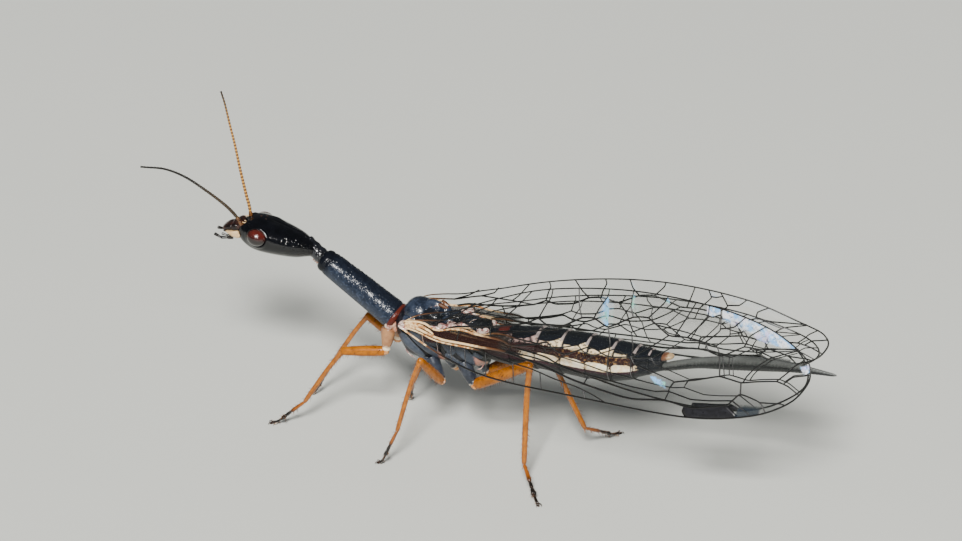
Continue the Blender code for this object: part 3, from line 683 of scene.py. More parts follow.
    def jaw(self, side: Side, material: Material) -> Piece:
        """Builds one mandible, curved inwards to a toothed tip."""
        sign = -side.sign
        way = smooth([(x, sign * y, z) for x, y, z in self.mandible], 8)
        share = np.linspace(0, 1, len(way))
        clay = Clay()
        clay.tube(way, 0.062 * (1 - 0.8 * share ** 2), 24, 0.62)
        for place, length in ((0.62, 0.05), (0.8, 0.04)):
            root = way[int(place * (len(way) - 1))]
            tooth = np.linspace(root, root + np.array((0.35 * length, -sign * length, 0.0)), 6)
            clay.tube(tooth, np.linspace(0.02, 0.003, 6), 10, 0.7, tag=1.0)
        return clay.build("mandible_" + side.value + "_curved", material, self.matrix())

    def palps(self, side: Side, material: Material) -> Piece:
        """Builds the jointed palps of one side, a long one and a short one."""
        sign = -side.sign
        clay = Clay()
        for points, radius in ((self.maxillary_palp, 0.036), (self.labial_palp, 0.028)):
            mirrored = [np.array((x, sign * y, z)) for x, y, z in points]
            for start, stop in zip(mirrored, mirrored[1:]):
                length = np.linalg.norm(stop - start)
                way = np.linspace(start, start + (stop - start) * (1 + 0.012 / length), 18)
                share = np.linspace(0, 1, 18)
                clay.tube(way, radius * (0.62 + 0.38 * share) * capped(share, 10), 20)
        return clay.build("palps_" + side.value, material, self.matrix())


@dataclass(frozen=True)
class HeadFinish(Cuticle):
    """The head's black skin, smooth in front and pitted towards the neck."""

    def relief(self, paint: Paint) -> Wire:
        """Returns the normal with the grain, and the pits on the rear half."""
        rear = paint.plan()[0].rise(0.85, 0.35) * 0.9 + 0.1
        normal = paint.bump(paint.noise(self.grain, 3.0), self.grain_depth)
        return paint.bump(paint.cells(self.pits).rise(0.18, 0.5) * rear, self.pit_depth, normal)


@dataclass(frozen=True)
class EyeFinish:
    """A compound eye: glossy, with small facets, dark red-brown on top and darkened to near black below as painted
    shade.
    """

    name: str = "eye facets"
    # The top's red-brown, then the lower rim's near black, which is painted shade.
    middle: Colour = (0.085, 0.009, 0.005)
    rim: Colour = (0.006, 0.002, 0.002)
    facet: float = 0.016

    def material(self) -> Material:
        """Returns the finished material."""
        paint = Paint(self.name)
        facets = paint.cells(self.facet).rise(0.0, 0.55)
        along = paint.plan()[0]
        # Painted shade: the eye turns from red-brown at its top to near black at its lower rim.
        colour = paint.mix(along.rise(0.45, 0.9) * (0.45 + 0.55 * paint.noise(0.08)), self.rim, self.middle)
        normal = paint.bump(1.0 - facets, 0.0016)
        return paint.finish(Base_Color=colour, Roughness=0.2, Normal=normal, Coat_Weight=0.5, Coat_Roughness=0.06)


@dataclass(frozen=True)
class FeelerFinish:
    """A jointed feeler: each bead pale at its base and dark at its tip, all darker outwards."""

    name: str
    pale: Colour
    dark: Colour
    tip: Colour
    pale_until: float = 0.75
    ring: float = 0.45

    def material(self) -> Material:
        """Returns the finished material, which reads the bead's height and its share of the way."""
        paint = Paint(self.name)
        along, _, within = paint.plan()
        bead = paint.mix(within.rise(self.ring - 0.12, self.ring + 0.12), self.pale, self.dark)
        outer = along.rise(self.pale_until - 0.25, self.pale_until + 0.15)
        normal = paint.bump(paint.noise(0.01, 3.0), 0.0015)
        return paint.finish(Base_Color=paint.mix(outer, bead, self.tip), Roughness=0.36, Normal=normal)


# Node trees


class NodeTree:
    """A Geometry Nodes tree that is written as calls."""

    def __init__(self, name: str, **inputs: str) -> None:
        """Starts a tree.

        Args:
            name: The tree's name.
            inputs: The kind of each named input between the geometry and the material.
        """
        self.tree = bpy.data.node_groups.new(name, "GeometryNodeTree")
        self.sockets = {label: self._socket(label, kind, "INPUT")
                        for label, kind in {"Geometry": "Geometry", **inputs, "Material": "Material"}.items()}
        self._socket("Geometry", "Geometry", "OUTPUT")
        self.given = self.tree.nodes.new("NodeGroupInput").outputs
        self.result = self.tree.nodes.new("NodeGroupOutput").inputs[0]

    def _socket(self, label: str, kind: str, way: str) -> Any:
        """Adds a named input or output."""
        return self.tree.interface.new_socket(name=label, in_out=way, socket_type="NodeSocket" + kind)

    def node(self, kind: str, values: dict[Any, Any], output: Any = 0, **settings: Any) -> Any:
        """Adds a node.

        Args:
            kind: The node's type.
            values: Values or output sockets by socket name or number.
            output: The name or number of the wanted output.
            settings: The node's own settings, set first.

        Returns:
            The socket of that output.
        """
        made = self.tree.nodes.new(kind)
        for key, value in settings.items():
            setattr(made, key, value)
        for key, value in values.items():
            if isinstance(value, bpy.types.NodeSocket):
                self.tree.links.new(value, made.inputs[key])
            else:
                made.inputs[key].default_value = value
        return made.outputs[output]

    def read(self, name: str) -> Any:
        """Returns the number that points keep under a name."""
        return self.node("GeometryNodeInputNamedAttribute", {"Name": name}, data_type="FLOAT")

    def keep(self, geometry: Any, name: str, value: Any, kind: str = "FLOAT") -> Any:
        """Returns a geometry whose points keep a value under a name."""
        values = {"Geometry": geometry, "Name": name, "Value": value}
        return self.node("GeometryNodeStoreNamedAttribute", values, data_type=kind, domain="POINT")

    def real(self, geometry: Any) -> Any:
        """Returns a geometry whose instances are a mesh of their own."""
        return self.node("GeometryNodeRealizeInstances", {0: geometry})

    def dress(self, geometry: Any) -> NodeTree:
        """Sets the material on a geometry, which is the tree's result, and returns the tree."""
        values = {"Geometry": geometry, "Material": self.given["Material"]}
        self.tree.links.new(self.node("GeometryNodeSetMaterial", values), self.result)
        return self

    def run(self, thing: Piece, name: str, matrix: Matrix, values: dict[str, Any]) -> Piece:
        """Runs the tree on an object and returns the result as a plain mesh in the row frame.

        Args:
            thing: The object that carries the geometry, which is removed.
            name: The new piece's name.
            matrix: What takes the result's points to the row frame.
            values: The named inputs.

        Returns:
            The piece.
        """
        modifier = thing.modifiers.new(self.tree.name, "NODES")
        modifier.node_group = self.tree
        for label, value in values.items():
            modifier[self.sockets[label].identifier] = value
        bpy.context.view_layer.update()
        graph = bpy.context.evaluated_depsgraph_get()
        mesh = bpy.data.meshes.new_from_object(thing.evaluated_get(graph))
        thing.modifiers.remove(modifier)
        bpy.data.objects.remove(thing, do_unlink=True)
        return place_mesh(mesh, name, matrix, values["Material"])


def curve_object(ways: Iterable[tuple[Array, Array]]) -> Piece:
    """Returns a curve object with a spline through each way's points, and a radius at each point."""
    curve = bpy.data.curves.new("ways", "CURVE")
    curve.dimensions = "3D"
    for way, radii in ways:
        spline = curve.splines.new("POLY")
        spline.points.add(len(way) - 1)
        for slot, point, radius in zip(spline.points, way, radii):
            slot.co = (*point, 1.0)
            slot.radius = float(radius)
    return linked("ways", curve)


def bead_tree() -> NodeTree:
    """Returns the tree that threads beads on a curve, as a feeler's rings are."""
    tree = NodeTree("Beads on a curve", Count="Int", Length="Float", Sides="Int")
    given = tree.given
    even = tree.node("GeometryNodeResampleCurve", {"Curve": given["Geometry"], "Count": given["Count"]}, mode="COUNT")
    curve = tree.keep(even, "bead_radius", tree.node("GeometryNodeInputRadius", {}))
    curve = tree.keep(curve, "bead_share", tree.node("GeometryNodeSplineParameter", {}, "Factor"))
    points = tree.node("GeometryNodeCurveToPoints", {"Curve": curve}, "Points", mode="EVALUATED")
    cone = {"Vertices": given["Sides"], "Side Segments": 8, "Radius Top": 1.0, "Radius Bottom": 0.72, "Depth": 1.0}
    height = tree.node("ShaderNodeSeparateXYZ", {0: tree.node("GeometryNodeInputPosition", {})}, "Z")
    bead = tree.keep(tree.node("GeometryNodeMeshCone", cone, fill_type="NGON"), "bead_height", height)
    wide = tree.read("bead_radius")
    size = tree.node("ShaderNodeCombineXYZ", {0: wide, 1: wide, 2: given["Length"]})
    turn = points.node.outputs["Rotation"]
    solid = tree.real(tree.node("GeometryNodeInstanceOnPoints", {"Points": points, "Instance": bead,
                                                                 "Rotation": turn, "Scale": size}))
    plan = tree.node("ShaderNodeCombineXYZ", {0: tree.read("bead_share"), 2: tree.read("bead_height")})
    return tree.dress(tree.keep(solid, PLAN, plan, "FLOAT_VECTOR"))


def bristle_tree() -> NodeTree:
    """Returns the tree that sets leaning bristles on a surface."""
    tree = NodeTree("Bristles on a surface", Density="Float", Length="Float", Radius="Float", Lean="Vector",
                    Seed="Int")
    given = tree.given
    places = {"Mesh": given["Geometry"], "Density": given["Density"], "Seed": given["Seed"]}
    spread = tree.node("GeometryNodeDistributePointsOnFaces", places, "Points")
    lean = {0: spread.node.outputs["Normal"], 1: given["Lean"]}
    turn = tree.node("FunctionNodeAlignRotationToVector",
                     {"Vector": tree.node("ShaderNodeVectorMath", lean, operation="ADD")}, axis="Z")
    cone = {"Vertices": 5, "Side Segments": 2, "Radius Top": 0.08, "Radius Bottom": 1.0, "Depth": 1.0}
    hair = tree.node("GeometryNodeMeshCone", cone, fill_type="NGON")
    varied = tree.node("FunctionNodeRandomValue", {2: 0.6, 3: 1.15, "Seed": given["Seed"]}, 1, data_type="FLOAT")
    long = tree.node("ShaderNodeMath", {0: given["Length"], 1: varied}, operation="MULTIPLY")
    size = tree.node("ShaderNodeCombineXYZ", {0: given["Radius"], 1: given["Radius"], 2: long})
    return tree.dress(tree.real(tree.node("GeometryNodeInstanceOnPoints", {
        "Points": spread, "Instance": hair, "Rotation": turn, "Scale": size})))


# The feelers


@dataclass
class Feeler:
    """One feeler: a stout scape, a pedicel and a thread of beads."""

    side: Side
    way: tuple[Point, ...]
    count: int = 38
    fine: int = 400
    scape_length: float = 0.17
    scape_radius: float = 0.052
    pedicel_length: float = 0.1
    pedicel_radius: float = 0.042
    root_radius: float = 0.038
    tip_radius: float = 0.022

    def lengths(self) -> tuple[Array, float]:
        """Returns the whole way in fine steps, and its length."""
        way = evenly(smooth(self.way, 12), self.fine)
        return way, float(np.linalg.norm(np.diff(way, axis=0), axis=1).sum())

    def base(self, material: Material) -> Piece:
        """Builds the scape and the pedicel."""
        way, length = self.lengths()
        clay = Clay()
        start = 0.0
        for stop, radius in ((self.scape_length, self.scape_radius),
                             (self.scape_length + self.pedicel_length, self.pedicel_radius)):
            first, last = int(start / length * self.fine), int(stop / length * self.fine) + 1
            share = np.linspace(0, 1, 20)
            radii = radius * (0.75 + 0.25 * np.sin(math.pi * share ** 0.8))
            clay.tube(evenly(way[first:last], 20), radii * np.clip(8 * (1.02 - share), 0.05, 1) ** 0.5, 24)
            start = stop - 0.01
        return clay.build(f"antenna_{self.side.value}_base", material)

    def thread(self, tree: NodeTree, material: Material) -> Piece:
        """Builds the thread of beads with the tree."""
        way, length = self.lengths()
        first = int((self.scape_length + self.pedicel_length) / length * self.fine)
        points = evenly(way[first:], 160)
        radii = self.root_radius + (self.tip_radius - self.root_radius) * np.linspace(0, 1, 160)
        bead = np.linalg.norm(np.diff(points, axis=0), axis=1).sum() / (self.count - 1)
        values = {"Count": self.count, "Length": float(bead * 1.02), "Sides": 16, "Material": material}
        return tree.run(curve_object([(points, radii)]), f"antenna_{self.side.value}_thread", STATIONS, values)


def vein_tree() -> NodeTree:
    """Returns the tree that draws round veins along curves, which keep each curve point's place as their plan."""
    tree = NodeTree("Veins along curves", Sides="Int")
    kept = tree.keep(tree.given["Geometry"], PLAN, tree.node("GeometryNodeInputPosition", {}), "FLOAT_VECTOR")
    ring = tree.node("GeometryNodeCurvePrimitiveCircle", {"Resolution": tree.given["Sides"], "Radius": 1.0})
    values = {"Curve": kept, "Profile Curve": ring, "Scale": tree.node("GeometryNodeInputRadius", {}),
              "Fill Caps": True}
    return tree.dress(tree.real(tree.node("GeometryNodeCurveToMesh", values)))


# The trunk


@dataclass
class Neck:
    """The pitted neck with its folds, and the pale skin below it."""

    way: tuple[Point, ...] = ((0.46, 0.02, 3.88), (0.75, 0.0, 3.69), (1.04, 0.0, 3.5))
    radius: float = 0.162
    folds: float = 4.0
    fold_depth: float = 0.007
    skin_way: tuple[Point, ...] = ((0.7, 0.01, 3.62), (0.84, 0.0, 3.53), (1.0, 0.0, 3.42))
    skin_radius: float = 0.13

    def build(self, dark: Material, pale: Material) -> list[Piece]:
        """Builds the neck and the skin.

        Args:
            dark: The finish of the hard neck.
            pale: The finish of the skin.

        Returns:
            The neck and the skin.
        """
        way = smooth(self.way, 30)
        share = np.linspace(0, 1, len(way))
        tube = Clay()
        tube.tube(way, self.radius + self.fold_depth * np.sin(2 * math.pi * self.folds * share), 72)
        way = smooth(self.skin_way, 24)
        share = np.linspace(0, 1, len(way))
        skin = Clay()
        skin.tube(way, self.skin_radius * (0.9 + 0.1 * np.sin(14 * math.pi * share)), 48)
        return [tube.build("neck_folds", dark), skin.build("neck_skin", pale)]


@dataclass
class Prothorax:
    """The long first ring of the thorax, with its granular shield, its band and its collar."""

    front: Point = (0.85, 0.0, 3.6)
    slope: float = 30.7
    ovals: tuple[Oval, ...] = (
        Oval(-0.02, 0.0, 0.15, 0.15), Oval(0.02, 0.0, 0.215, 0.21), Oval(0.09, 0.0, 0.245, 0.24),
        Oval(0.2, 0.0, 0.252, 0.25), Oval(0.5, 0.0, 0.265, 0.262), Oval(0.9, 0.0, 0.275, 0.275),
        Oval(1.4, 0.0, 0.295, 0.287), Oval(1.72, 0.0, 0.315, 0.293), Oval(1.86, 0.0, 0.32, 0.292),
        Oval(1.95, 0.0, 0.315, 0.285), Oval(1.99, 0.0, 0.27, 0.24), Oval(2.01, 0.0, 0.2, 0.17),
    )
    edge_turn: float = -0.62
    edge_depth: float = 0.02
    band_start: float = 1.9
    granule: float = 0.042
    granule_height: float = 0.007

    def matrix(self) -> Matrix:
        """Returns what takes the ring's own points to the row frame."""
        return STATIONS @ Matrix.Translation(self.front) @ rotation(self.slope, 0.0)

    def shield(self, material: Material) -> Piece:
        """Builds the ring, whose shield ends below its sides in a groove."""
        rings, _, turn = body_grid(self.ovals, 10, 200, 260)
        away = outward(rings)
        x, height = rings[..., 0], np.sin(turn)
        groove = swell(height, self.edge_turn, 0.06) * ramp(x, 0.15, 0.4) * (1 - ramp(x, 1.75, 1.9))
        shelf = ramp(height, self.edge_turn, self.edge_turn + 0.12) * 0.008
        lift = shelf - self.edge_depth * groove
        lift -= 0.012 * swell(x, 0.15, 0.03) + 0.013 * swell(x, self.band_start - 0.03, 0.022)
        lift += 0.006 * swell(x, 0.95, 0.25) * swell(height, 0.75, 0.3)
        lift -= 0.01 * swell(rings[..., 1], 0.0, 0.02) * ramp(height, 0.5, 0.9) * swell(x, 1.0, 0.6)
        flat = rings.reshape(-1, 3) / self.granule
        rough = np.array([noise.noise(Vector(point)) for point in flat]).reshape(x.shape)
        lift += self.granule_height * ramp(rough, 0.0, 0.45) * ramp(height, self.edge_turn, -0.3) * ramp(x, 0.05, 0.2)
        clay = Clay()
        clay.grid(rings + away * lift[..., None], np.stack([x, rough, height], axis=-1))
        return clay.build("prothorax_shield", material, self.matrix())

    def collar(self, material: Material) -> Piece:
        """Builds the soft folds between the ring and the thorax, seen below and behind it."""
        clay = Clay()
        way = smooth(((1.9, 0, -0.03), (2.02, 0, -0.05), (2.14, 0, -0.08)), 20)
        share = np.linspace(0, 1, len(way))
        clay.tube(way, 0.262 + 0.012 * np.sin(5 * math.pi * share) - 0.02 * share, 72)
        return clay.build("collar_skin", material, self.matrix())

    def coxal_balls(self, material: Material) -> Piece:
        """Builds the two glossy balls above the front coxae."""
        clay = Clay()
        for sign in (1, -1):
            clay.ball((1.94, sign * 0.265, -0.12), np.diag((0.085, 0.07, 0.085)), 20, 28, 2.0)
        return clay.build("coxal_balls", material, self.matrix())


@dataclass(frozen=True)
class Plate:
    """A raised plate on the side of the thorax: where it runs, its half width and its paler tip."""

    start: Point
    stop: Point
    half_width: float
    tip: float = 0.0
    squareness: float = 3.5


@dataclass
class Thorax:
    """The two winged rings of the thorax: their skin, side plates, back lobes and wing hinges."""

    ovals: tuple[Oval, ...] = (
        Oval(2.55, 2.56, 0.16, 0.14), Oval(2.6, 2.56, 0.235, 0.22), Oval(2.7, 2.53, 0.325, 0.36, 2.1),
        Oval(2.8, 2.49, 0.375, 0.48, 2.1), Oval(2.92, 2.465, 0.41, 0.575, 2.2), Oval(3.2, 2.46, 0.425, 0.605, 2.2),
        Oval(3.48, 2.44, 0.405, 0.57, 2.2), Oval(3.645, 2.42, 0.37, 0.51, 2.1), Oval(3.85, 2.42, 0.405, 0.55, 2.2),
        Oval(4.15, 2.42, 0.405, 0.55, 2.2), Oval(4.42, 2.44, 0.375, 0.5, 2.1), Oval(4.58, 2.46, 0.32, 0.41),
        Oval(4.64, 2.46, 0.24, 0.31),
    )
    plates: tuple[Plate, ...] = (
        Plate((2.76, 2.5), (3.33, 2.01), 0.115), Plate((2.98, 2.63), (3.77, 2.0), 0.12, 0.8),
        Plate((3.26, 2.62), (3.64, 2.36), 0.09), Plate((3.75, 2.55), (4.02, 2.25), 0.125),
        Plate((4.03, 2.51), (4.6, 1.99), 0.135, 0.7), Plate((3.77, 2.23), (4.3, 1.88), 0.09, 0.76),
        Plate((3.12, 1.98), (3.42, 1.89), 0.08), Plate((4.42, 2.38), (4.6, 2.25), 0.06),
    )
    lobes: tuple[tuple[Point, Point, float, float], ...] = (
        ((3.05, 0.0, 2.78), (0.33, 0.35, 0.37), 2.3, 0.0), ((2.98, 0.26, 2.68), (0.22, 0.14, 0.22), 2.3, 0.1),
        ((3.36, 0.0, 2.93), (0.24, 0.11, 0.255), 2.4, 0.2), ((3.41, 0.2, 2.85), (0.235, 0.17, 0.19), 2.5, 1.0),
        ((3.22, 0.29, 2.76), (0.17, 0.11, 0.15), 2.4, 0.6), ((3.63, 0.0, 2.92), (0.14, 0.14, 0.195), 2.4, 0.3),
        ((3.76, 0.15, 2.83), (0.15, 0.13, 0.14), 2.4, 0.35), ((3.88, 0.0, 2.9), (0.18, 0.18, 0.14), 2.6, 0.6),
        ((4.06, 0.16, 2.8), (0.16, 0.14, 0.13), 2.3, 0.9), ((4.2, 0.0, 2.87), (0.18, 0.18, 0.12), 2.5, 0.5),
        ((4.46, 0.0, 2.8), (0.19, 0.28, 0.13), 2.6, 0.9),
    )
    hinges: tuple[tuple[Point, Point, float], ...] = (
        ((2.8, 0.385, 2.66), (0.055, 0.05, 0.05), 2.0), ((2.93, 0.43, 2.74), (0.1, 0.05, 0.05), 2.4),
        ((3.1, 0.42, 2.76), (0.12, 0.04, 0.04), 2.4), ((2.92, 0.42, 2.58), (0.04, 0.03, 0.03), 2.0),
        ((3.58, 0.33, 2.73), (0.14, 0.04, 0.035), 2.4), ((3.75, 0.31, 2.78), (0.15, 0.05, 0.065), 2.6),
        ((3.93, 0.285, 2.85), (0.14, 0.05, 0.085), 2.8), ((4.1, 0.26, 2.87), (0.1, 0.05, 0.075), 2.6),
        ((4.04, 0.29, 2.76), (0.1, 0.04, 0.05), 2.2), ((4.22, 0.24, 2.85), (0.09, 0.04, 0.045), 2.2),
        ((4.52, 0.22, 2.81), (0.1, 0.07, 0.07), 2.2), ((4.62, 0.19, 2.83), (0.07, 0.06, 0.06), 2.4),
        ((2.94, 0.51, 2.745), (0.13, 0.17, 0.045), 2.3), ((4.0, 0.39, 2.9), (0.08, 0.08, 0.035), 2.3),
    )
    streaks: tuple[tuple[tuple[Point, ...], float], ...] = (
        (((3.33, 0.1, 3.05), (3.48, 0.07, 3.11), (3.6, 0.03, 3.125), (3.68, -0.03, 3.11)), 0.012),
        (((3.86, 0.12, 2.98), (3.98, 0.04, 3.035), (4.08, -0.06, 3.04)), 0.011),
        (((4.24, 0.19, 2.93), (4.3, 0.13, 2.98), (4.36, 0.07, 2.98)), 0.009),
        (((2.86, 0.32, 2.1), (2.94, 0.31, 2.0), (3.08, 0.28, 1.9)), 0.01),
        (((4.5, 0.36, 2.0), (4.58, 0.33, 2.03), (4.63, 0.29, 2.14)), 0.011),
    )
    tufts: tuple[tuple[Point, Point], ...] = (((3.62, 0.055, 3.1), (0.14, 0.045, 0.04)),)
    plate_height: float = 0.046

    def side(self, flat: Array, level: Array) -> Array:
        """Returns points of the right side of the skin at stations X and Z, raised by a level."""
        middle, wide, high, power = measures(self.ovals, 10, flat[:, 0])
        share = np.clip(np.abs(flat[:, 1] - middle) / high, 0, 0.995)
        y = wide * (1 - share ** power) ** (1 / power)
        tilt = np.clip((flat[:, 1] - middle) / high, -1, 1)
        return np.column_stack([flat[:, 0], y + level * np.sqrt(1 - 0.6 * tilt ** 2), flat[:, 1] + level * tilt * 0.6])

    def skin(self, material: Material) -> Piece:
        """Builds the skin under the plates, with the furrows between the two rings."""
        rings, _, turn = body_grid(self.ovals, 10, 128, 170)
        x, height = rings[..., 0], np.sin(turn)
        lift = -0.03 * swell(x, 3.645, 0.03) - 0.022 * swell(x, 3.02, 0.02) * ramp(height, 0.7, 0.95)
        lift -= 0.02 * swell(x, 4.0, 0.02) * ramp(height, 0.7, 0.95)
        lift -= 0.02 * swell(rings[..., 1], 0.0, 0.02) * ramp(-height, 0.5, 0.8)
        clay = Clay()
        clay.grid(rings + outward(rings) * lift[..., None], np.stack([x, np.zeros_like(x), height], axis=-1))
        return clay.build("thorax_skin", material)

    def side_plates(self, side: Side, material: Material) -> Piece:
        """Builds the raised plates of one side."""
        clay = Clay()
        turn = turns(56)
        for plate in self.plates:
            start, stop = np.array(plate.start), np.array(plate.stop)
            ahead = (stop - start) / 2
            across = np.array((-ahead[1], ahead[0])) / np.linalg.norm(ahead) * plate.half_width
            long, wide = (squared(part(turn), plate.squareness) for part in (np.cos, np.sin))
            rim = (start + stop) / 2 + long[:, None] * ahead + (wide * (1 - 0.12 * long))[:, None] * across

            def lay(flat: Array, level: Array) -> Array:
                """Returns points of this side of the thorax."""
                laid = self.side(flat, level)
                laid[:, 1] *= side.sign
                return laid

            clay.pillow(rim, lay, self.plate_height, 0.05, plate.tip, 12, 3.2)
        return clay.build("thorax_plates_" + side.value, material)

    def back_lobes(self, material: Material) -> Piece:
        """Builds the shields and lobes of the back, each with a fine ridge along its middle."""
        clay = Clay()
        for centre, radii, power, tag in self.lobes:
            for sign in ((1,) if centre[1] == 0 else (1, -1)):
                clay.ball((centre[0], sign * centre[1], centre[2]), np.diag(radii), 40, 56, power, tag)
        return clay.build("back_lobes", material)

    def wing_hinges(self, side: Side, material: Material) -> Piece:
        """Builds the small pale plates on which the wings of one side turn, and the pale ridges by them."""
        clay = Clay()
        for number, (centre, radii, power) in enumerate(self.hinges):
            axes = np.diag(radii) @ np.array(Euler((0.0, -0.25, 0.12 * side.sign)).to_matrix())
            clay.ball((centre[0], side.sign * centre[1], centre[2]), axes, 20, 28, power, number / 8)
        for points, radius in self.streaks:
            way = smooth([(x, side.sign * y, z) for x, y, z in points], 10)
            clay.tube(way, radius * np.sin(np.linspace(0.3, math.pi - 0.3, len(way))), 14, tag=0.0)
        return clay.build("wing_hinges_" + side.value, material)

    def back_tufts(self, material: Material) -> Piece:
        """Builds the orange-brown pads behind the forewings' roots."""
        clay = Clay()
        for centre, radii in self.tufts:
            for sign in (1, -1):
                axes = np.diag(radii) @ np.array(Euler((0.0, -0.5, 0.3 * sign)).to_matrix())
                clay.ball((centre[0], sign * centre[1], centre[2]), axes, 20, 24, 2.2)
        return clay.build("back_tufts", material)


@dataclass(frozen=True)
class BackFinish(Cuticle):
    """The back's lobes: slate-blue, and near black where a lobe's tag says so, with black feet."""

    black: Colour = (0.006, 0.007, 0.01)

    def colour(self, paint: Paint) -> Wire:
        """Returns the clouds with the black lobes and feet."""
        _, tag, high = paint.plan()
        cloud = (paint.noise(0.12) - 0.5) * 0.5
        colour = paint.mix((tag + cloud).rise(0.3, 0.75), super().colour(paint), self.black)
        return paint.mix((high + cloud * 0.6).rise(0.45, 0.1), colour, self.black)


@dataclass(frozen=True)
class PlatesFinish(Cuticle):
    """Slate plates whose lower tips turn pink where the plate's tag says so, with dark edges."""

    tip: Colour = (0.4, 0.19, 0.14)
    white: Colour = (0.66, 0.5, 0.36)
    edge: Colour = (0.006, 0.007, 0.009)

    def colour(self, paint: Paint) -> Wire:
        """Returns the clouds, the tips and the dark edges."""
        along, tag, rim = paint.plan()
        tipped = (along + (paint.noise(0.05) - 0.5) * 0.12 - tag).rise(-0.03, 0.05) * tag.rise(0.3, 0.4)
        tip = paint.mix((along + (paint.noise(0.04) - 0.5) * 0.2).rise(0.9, 0.98), self.tip, self.white)
        colour = paint.mix(tipped, super().colour(paint), tip)
        return paint.mix(rim.rise(0.84, 0.96), colour, self.edge)


@dataclass(frozen=True)
class ShieldFinish(Cuticle):
    """The granular shield of the prothorax: black in front, slate behind, with a red-brown hind band."""

    front: Colour = (0.004, 0.005, 0.008)
    band: Colour = (0.075, 0.014, 0.009)
    under: Colour = (0.03, 0.037, 0.052)
    glint: Colour = (0.045, 0.06, 0.095)

    def colour(self, paint: Paint) -> Wire:
        """Returns the zones along the shield, with painted glints on the granules of its flanks."""
        along, granule, height = paint.plan()
        cloud = (paint.noise(0.12) - 0.5) * 0.5
        colour = paint.mix((height + cloud).rise(0.25, -0.35), super().colour(paint), self.under)
        # Painted glints: paler spots on the granules of the flanks.
        colour = paint.mix(granule.rise(0.1, 0.5) * height.rise(0.75, 0.2) * 0.5, colour, self.glint)
        colour = paint.mix((along + cloud * 0.4).rise(0.36, 0.12), colour, self.front)
        colour = paint.mix((height + cloud).rise(0.6, 0.95) * 0.7, colour, self.front)
        return paint.mix(along.rise(1.875, 1.9), colour, self.band)


# The abdomen


@dataclass
class Abdomen:
    """The ringed abdomen with its end plates and the long egg-laying tube."""

    profile: tuple[Oval, ...] = (
        Oval(4.6, 2.47, 0.26, 0.3), Oval(4.67, 2.48, 0.3, 0.35), Oval(5.1, 2.54, 0.39, 0.41),
        Oval(5.8, 2.62, 0.43, 0.445), Oval(6.6, 2.66, 0.45, 0.465), Oval(7.3, 2.68, 0.44, 0.46),
        Oval(7.8, 2.74, 0.38, 0.38), Oval(8.2, 2.83, 0.275, 0.275), Oval(8.5, 2.9, 0.18, 0.19),
    )
    joints: tuple[float, ...] = (4.67, 5.22, 5.8, 6.37, 6.93, 7.49, 7.95, 8.25, 8.5)
    lap: float = 0.022
    sinking: float = 0.016
    end_plates: tuple[Oval, ...] = (
        Oval(8.46, 2.98, 0.125, 0.085), Oval(8.55, 3.02, 0.125, 0.08), Oval(8.63, 3.035, 0.112, 0.066),
        Oval(8.7, 3.045, 0.07, 0.04), Oval(8.72, 3.05, 0.035, 0.02),
    )
    tube: tuple[Oval, ...] = (
        Oval(8.42, 2.76, 0.07, 0.08), Oval(8.55, 2.79, 0.08, 0.092), Oval(8.75, 2.86, 0.086, 0.108),
        Oval(9.3, 3.04, 0.082, 0.125), Oval(10.0, 3.19, 0.082, 0.16), Oval(10.7, 3.31, 0.076, 0.155),
        Oval(11.3, 3.38, 0.066, 0.115), Oval(11.85, 3.4, 0.045, 0.066), Oval(12.18, 3.405, 0.028, 0.038),
        Oval(12.29, 3.41, 0.012, 0.016),
    )

    def rings(self, material: Material) -> Piece:
        """Builds the overlapping rings, with the soft side fold sunk between back and belly plates."""
        grid, _, turn = body_grid(self.profile, 10, 160, 420)
        x, height = grid[..., 0], np.sin(turn)
        place = np.interp(x, self.joints, range(len(self.joints)))
        within = place - np.floor(place)
        hard = ramp(height, 0.28, 0.42) + ramp(-height, 0.18, 0.3)
        lift = self.lap * (within ** 1.6 - 0.4) * (0.35 + 0.65 * hard)
        lift -= 0.03 * swell(within, 0.0, 0.035) + 0.03 * swell(within, 1.0, 0.02)
        lift -= self.sinking * swell(height, 0.16, 0.2)
        lift -= 0.008 * swell(height, 0.3, 0.035) + 0.008 * swell(height, -0.2, 0.035)
        lift += 0.01 * swell(height, 0.05, 0.09) * np.sin(math.pi * within)
        lift *= ramp(x, 4.62, 4.8)
        clay = Clay()
        clay.grid(grid + outward(grid) * lift[..., None], np.stack([place, np.cos(turn), height], axis=-1))
        return clay.build("abdomen_rings", material)

    def tip(self, material: Material) -> Piece:
        """Builds the tan plates above the egg-laying tube's root."""
        grid, along, turn = body_grid(self.end_plates, 8, 64, 50)
        lift = -0.012 * swell(along, 0.55, 0.05) - 0.012 * swell(grid[..., 1], 0.0, 0.014)
        clay = Clay()
        plans = np.stack([along, np.zeros_like(along), np.sin(turn)], axis=-1)
        clay.grid(grid + outward(grid) * lift[..., None], plans)
        return clay.build("end_plates", material)

    def egg_tube(self, material: Material) -> Piece:
        """Builds the egg-laying tube, with a furrow along each side and fine cross folds."""
        grid, along, turn = body_grid(self.tube, 10, 64, 420)
        height = np.sin(turn)
        folds = np.sin(grid[..., 0] * 2 * math.pi / 0.075)
        lift = -0.012 * swell(height, -0.05, 0.16) + 0.0016 * folds - 0.008 * swell(height, 1.0, 0.05)
        lift = lift * (1 - ramp(along, 0.93, 1.0))
        clay = Clay()
        clay.grid(grid + outward(grid) * lift[..., None], np.stack([along, folds, height], axis=-1))
        return clay.build("egg_tube", material)


